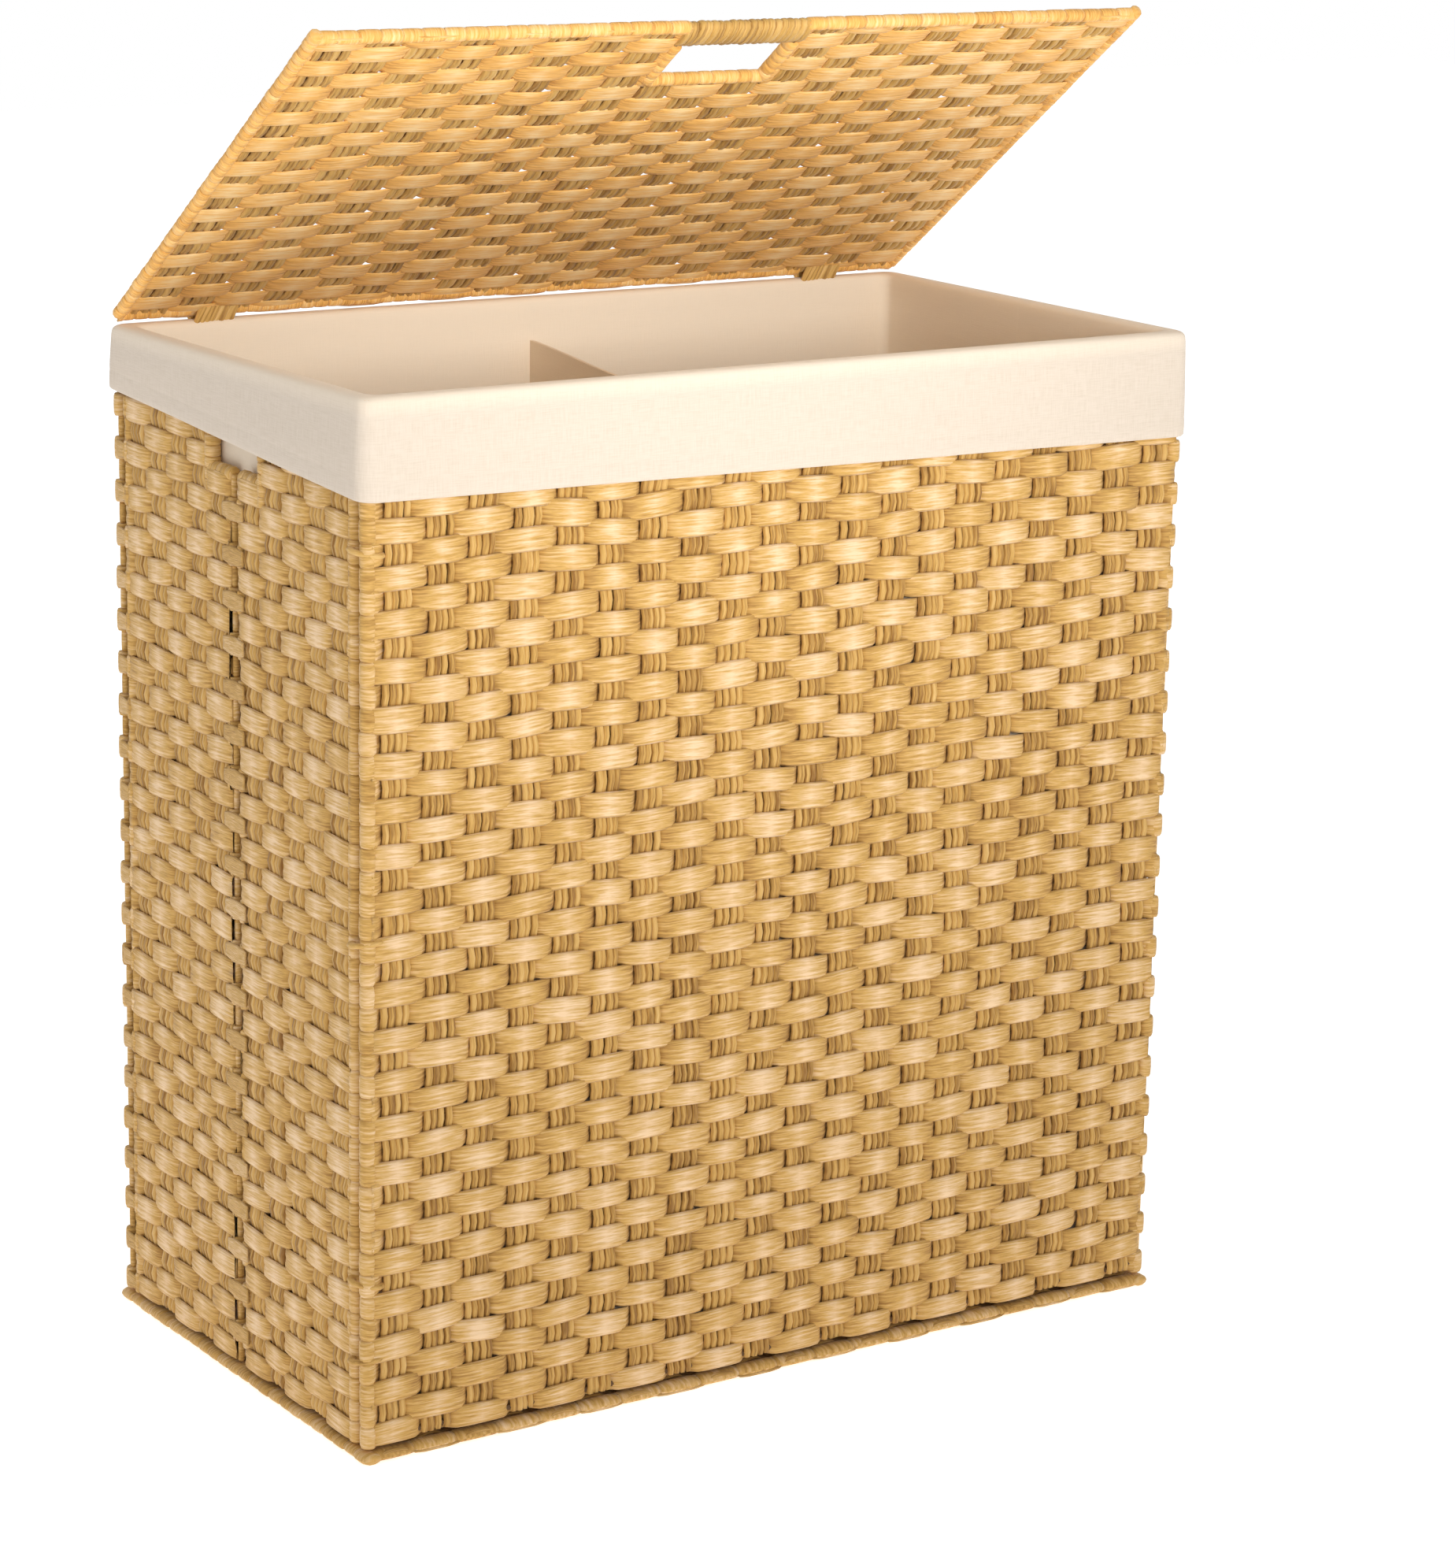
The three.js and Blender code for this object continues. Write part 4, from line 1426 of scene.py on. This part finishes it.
def fold_sheet(name, columns, map_start):
    """A flat grid, taken point by point to its place on the walls. Its map starts where the
    neighbouring piece's ended, so that the threads run on across the seam."""
    along = run_lengths(columns[:, :2])
    row_count = len(over_the_rim(CUFF_DROP["front_left"]))
    sheet, flat = add_grid(name, len(columns) - 1, row_count - 1)
    column_of = np.rint(flat[:, 0] * (len(columns) - 1)).astype(int)
    row_of = np.rint(flat[:, 1] * (row_count - 1)).astype(int)
    placed, cloth_map = np.empty_like(flat), np.empty((len(flat), 2))
    drops = cuff_drop(columns[:, 0], columns[:, 1])
    for i, (x, y, out_x, out_y) in enumerate(columns):
        rows = over_the_rim(drops[i])
        down = run_lengths(rows[:, :2] * (ACROSS, 1))
        hem_share = np.clip((CUFF_TOP - rows[:, 1]) / drops[i], 0, 1)
        for j in np.flatnonzero(column_of == i):
            inside, height, proud = rows[row_of[j]]
            in_x = x * (1 - inside * (1 - LINER_HALF_X / CUFF_HALF_X))
            in_y = y * (1 - inside * (1 - LINER_HALF_Y / CUFF_HALF_Y))
            off = proud + slack(in_x, in_y, height, inside, hem_share[row_of[j]])
            placed[j] = (in_x + out_x * off, in_y + out_y * off, height)
            cloth_map[j] = (map_start + along[i], down[row_of[j]] - drops[i])
    set_points(sheet, placed)
    write_flat_map(sheet, cloth_map)
    return sheet, (along[-1], down[-1])


def write_flat_map(sheet, places):
    """Keeps each point's place on the flat cloth, in metres, as the sheet's map."""
    mesh = sheet.data
    while mesh.uv_layers:
        mesh.uv_layers.remove(mesh.uv_layers[0])
    corners = np.empty(len(mesh.loops), int)
    mesh.loops.foreach_get("vertex_index", corners)
    mesh.uv_layers.new(name=CLOTH_MAP)
    mesh.uv_layers[CLOTH_MAP].data.foreach_set("uv", np.ascontiguousarray(places[corners]).ravel())


def thicken(sheet, thickness):
    """Rounds a sheet's folds and gives it its thickness, with a crisp cut edge."""
    apply_modifier(sheet, "SUBSURF", levels=1, render_levels=1, boundary_smooth="PRESERVE_CORNERS")
    apply_modifier(sheet, "SOLIDIFY", thickness=thickness, offset=0)
    select_only(sheet)
    bpy.ops.object.shade_smooth_by_angle(angle=math.radians(55))


# %% The four pieces of the liner
CREASE_EDGE = 0.02 * MM
side_y = CUFF_HALF_Y - CORNER_RADIUS
front_x = CUFF_HALF_X - CORNER_RADIUS
left, right = (-1, 0), (1, 0)

liner_routes = {
    "liner_front_left": [
        straight((-CUFF_HALF_X, -CREASE_EDGE), (-CUFF_HALF_X, -side_y)),
        corner(-1, -1, 180),
        straight((-front_x, -CUFF_HALF_Y), (front_x, -CUFF_HALF_Y)),
        corner(1, -1, 270),
        end_point(CUFF_HALF_X, -side_y, right),
    ],
    "liner_front_right": [
        straight((CUFF_HALF_X, -side_y), (CUFF_HALF_X, -CREASE_EDGE)),
        end_point(CUFF_HALF_X, -CREASE_EDGE, right),
    ],
    "liner_back_right": [
        straight((CUFF_HALF_X, CREASE_EDGE), (CUFF_HALF_X, side_y)),
        corner(1, 1, 0),
        straight((front_x, CUFF_HALF_Y), (0, CUFF_HALF_Y)),
        end_point(0, CUFF_HALF_Y, (0, 1)),
    ],
    "liner_back_left": [
        straight((0, CUFF_HALF_Y), (-front_x, CUFF_HALF_Y)),
        corner(-1, 1, 90),
        straight((-CUFF_HALF_X, side_y), (-CUFF_HALF_X, CREASE_EDGE)),
        end_point(-CUFF_HALF_X, CREASE_EDGE, left),
    ],
}
liner_bodies = {
    "liner_front_left": ("left_front_half", "front_wall", (-1, -1)),
    "liner_back_right": ("right_rear_half", "root", (1, 1)),
    "liner_back_left": ("left_rear_half", "root", (-1, 1)),
}
liner_stands_for = {
    "liner_front_left": ("liner_front", "liner_left_front"),
    "liner_front_right": ("liner_right_front",),
    "liner_back_right": ("liner_right_rear",),
    "liner_back_left": ("liner_back", "liner_left_rear"),
}
map_start = 0.0
for name in ("liner_back_left", "liner_front_left", "liner_front_right", "liner_back_right"):
    replaced = liner_stands_for[name]
    sheet, cut = fold_sheet(name + "_cloth", np.vstack(liner_routes[name]), map_start)
    map_start += cut[0]
    thicken(sheet, CLOTH)
    sheet.data.materials.append(linen)
    if name in liner_bodies:
        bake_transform(sheet)
    else:
        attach(sheet, "right_front_half")
    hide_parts(*replaced)
    print(sheet.name, "is cut", [round(x, 3) for x in cut], "m")

# %% [markdown]
# ## Divider and floor cloth
# The divider is a doubled sheet, sewn to the back and the front of the liner, and it hangs a little
# slack. It can't follow the folding walls. The floor
# cloth just lies on the base.

# %% Divider
DIVIDER_SAG = 9 * MM
DIVIDER_COLUMNS = 26
DIVIDER_ROWS = 44
DIVIDER_WAVE = 4.5 * MM
DIVIDER_RIPPLE = 1.2 * MM


def hang_divider():
    """The divider, waved sideways and sagging along its top."""
    low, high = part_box("liner_divider")
    divider, flat = add_grid("liner_divider_cloth", DIVIDER_COLUMNS, DIVIDER_ROWS)
    width, height = high.y - low.y, high.z - low.z
    y = low.y + flat[:, 0] * width
    slack_share = np.sin(flat[:, 0] * math.pi)
    top = high.z - DIVIDER_SAG * slack_share ** 1.2
    z = low.z + flat[:, 1] * (top - low.z)
    wave = np.array([cloth_noise(a * 7 + 2, b * 3, 1.5) for a, b in zip(y, z)])
    ripple = np.array([cloth_noise(a * 22, b * 9, 4) for a, b in zip(y, z)])
    free = np.clip(slack_share, 0.001, 1) ** 0.6
    x = (DIVIDER_WAVE * wave + DIVIDER_RIPPLE * ripple) * free
    set_points(divider, np.column_stack([x, y, z]))
    write_flat_map(divider, flat[:, :2] * (width, height))
    thicken(divider, high.x - low.x)
    divider.data.materials.append(linen_lining)
    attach(divider, "root")
    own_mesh(divider)
    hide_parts("liner_divider")
    print("divider is cut", round(width, 3), "by", round(height, 3), "m")


hang_divider()


# %% Floor cloth
FLOOR_CLOTH_COLUMNS = 60
FLOOR_CLOTH_ROWS = 34
FLOOR_CLOTH_RISE = 0.8 * MM


def lay_floor_cloth():
    """The cloth on the base, with a few low waves."""
    low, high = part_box("liner_floor")
    cloth, flat = add_grid("liner_floor_cloth", FLOOR_CLOTH_COLUMNS, FLOOR_CLOTH_ROWS)
    width, depth = high.x - low.x, high.y - low.y
    x, y = low.x + flat[:, 0] * width, low.y + flat[:, 1] * depth
    wave = np.array([abs(cloth_noise(a * 9, b * 9, 7)) for a, b in zip(x, y)])
    height = low.z + CLOTH / 2 + FLOOR_CLOTH_RISE * wave
    set_points(cloth, np.column_stack([x, y, height]))
    write_flat_map(cloth, flat[:, :2] * (width, depth))
    thicken(cloth, CLOTH)
    cloth.data.materials.append(linen_lining)
    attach(cloth, "root")
    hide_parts("liner_floor")
    print("floor cloth is cut", round(width, 3), "by", round(depth, 3), "m")


lay_floor_cloth()

# %% [markdown]
# ## Twine
# The lid hangs on two bands of straw twine, each a few turns round the lid's rod and the back wall's
# top rod. One turn is a torus whose lower half is pulled down, and the turns are its copies. The same
# twine ties the front-left corner.

# %% Hinge bands
TWINE_RADIUS = 2.1 * MM
BAND_TURNS = 8
BAND_RADIUS = 5.4 * MM
BAND_TUCK = 0.55  # the lower half goes through the cloth, close round the rod


def add_twine_loop(name, radius, drop):
    """A closed loop of twine round X, with its lower half drop lower than its upper half."""
    bpy.ops.object.select_all(action="DESELECT")
    bpy.ops.mesh.primitive_torus_add(
        major_radius=radius, minor_radius=TWINE_RADIUS, major_segments=20, minor_segments=8,
        rotation=(0, math.pi / 2, 0),
    )
    loop = bpy.context.active_object
    loop.name = name
    bpy.ops.object.transform_apply(location=True, rotation=True, scale=True)
    uv_of_torus = loop.data.uv_layers[0]
    uv_of_torus.name = STRAND_MAP
    points = get_points(loop)
    points[:, 2] -= np.where(points[:, 2] < 0, drop, 0)
    set_points(loop, points)
    return loop


def add_hinge_band(name, node):
    """Turns of twine round the lid's rod and the wall's top rod, in the box of a hinge band."""
    low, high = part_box(node)
    rods_apart = (high.z - low.z) - (high.y - low.y)
    loop = add_twine_loop(name, BAND_RADIUS, rods_apart)
    step = (high.x - low.x - 2 * TWINE_RADIUS) / (BAND_TURNS - 1)
    repeat(loop, BAND_TURNS, (step, 0, 0), (0, 1))
    points, numbers = get_points(loop), numbers_of(loop)
    turn_number = np.clip(np.floor(numbers[:, 1]).astype(int), 0, BAND_TURNS - 1)
    lean = table(1200, BAND_TURNS, 2)[turn_number]
    slant = (0.35 + 0.1 * lean[:, 0]) * -points[:, 1] / BAND_RADIUS
    points[:, 0] += slant * (points[:, 2] + rods_apart / 2)
    points[:, 1] *= np.where(points[:, 2] < -rods_apart / 2, BAND_TUCK, 1)
    points[:, 1] += lean[:, 1] * 0.5 * MM
    points += (low.x + TWINE_RADIUS, HINGE_PLACE.y, HINGE_PLACE.z)
    set_points(loop, points)
    paint_tone(loop, 0.4 + 0.3 * lean[:, 0])
    finish_piece(loop, twine, "root")
    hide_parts(node)


twine = make_straw("twine", 8.0, 6, **STRAND_COLOURS, bump=0.8)
add_hinge_band("hinge_twine_left", "hinge_band_left")
add_hinge_band("hinge_twine_right", "hinge_band_right")

# %% Ties at the front-left corner
TIE_HEIGHTS = (60 * MM, 105 * MM, 300 * MM, 515 * MM)
TIE_RADIUS = 6.5 * MM


def add_corner_ties(name, sign):
    """Loops of twine round the two edge rods of a front corner: sign is -1 on the left."""
    loops = []
    for i, height in enumerate(TIE_HEIGHTS):
        loop = add_twine_loop("tie", TIE_RADIUS, 0)
        points = get_points(loop)[:, [2, 1, 0]] * (1.25, 1, 0.8)
        points[:, 2] += height + 0.15 * points[:, 0] * (-1) ** i
        set_points(loop, points)
        paint_tone(loop, np.full(len(points), 0.3 + 0.15 * i))
        loops.append(loop)
    ties = join(loops, name)
    spin = Euler((0, 0, math.radians(45 * sign))).to_matrix().to_4x4()
    spin.translation = Vector((sign * (SIDE_FACE - 6 * MM), -FRONT_FACE + 9 * MM, 0))
    fix_place(ties, spin)
    face_out(ties)
    return ties


left_ties = add_corner_ties("left_corner_ties", -1)
blend_piece(
    left_ties, twine, "left_front_half", "front_wall",
)

# %% [markdown]
# ## Wire frame
# The wires come from the frame as they are, and show only through gaps in the straw. They are steel
# rod with a brown coating, a little worn.

# %% Wire finish
def make_wire():
    """Brown coated steel, with slight unevenness."""
    material, tree, shader = new_material("coated_wire", {"Metallic": 0.2})
    place = add_node(tree, "ShaderNodeTexCoord").outputs["Object"]
    spots = add_noise(tree, place, scale=260)
    colour = mix_colours(tree, spots, to_linear(112, 82, 50), to_linear(84, 62, 40))
    wire_up(tree, colour, shader.inputs["Base Color"])
    wire_up(tree, add_range(tree, spots, end=(0.35, 0.6)), shader.inputs["Roughness"])
    return material


coated_wire = make_wire()
for name, node in frame["nodes"].items():
    if name.endswith("_wire") or "post" in name:
        node.data.materials.clear()
        node.data.materials.append(coated_wire)
print("wires are coated")
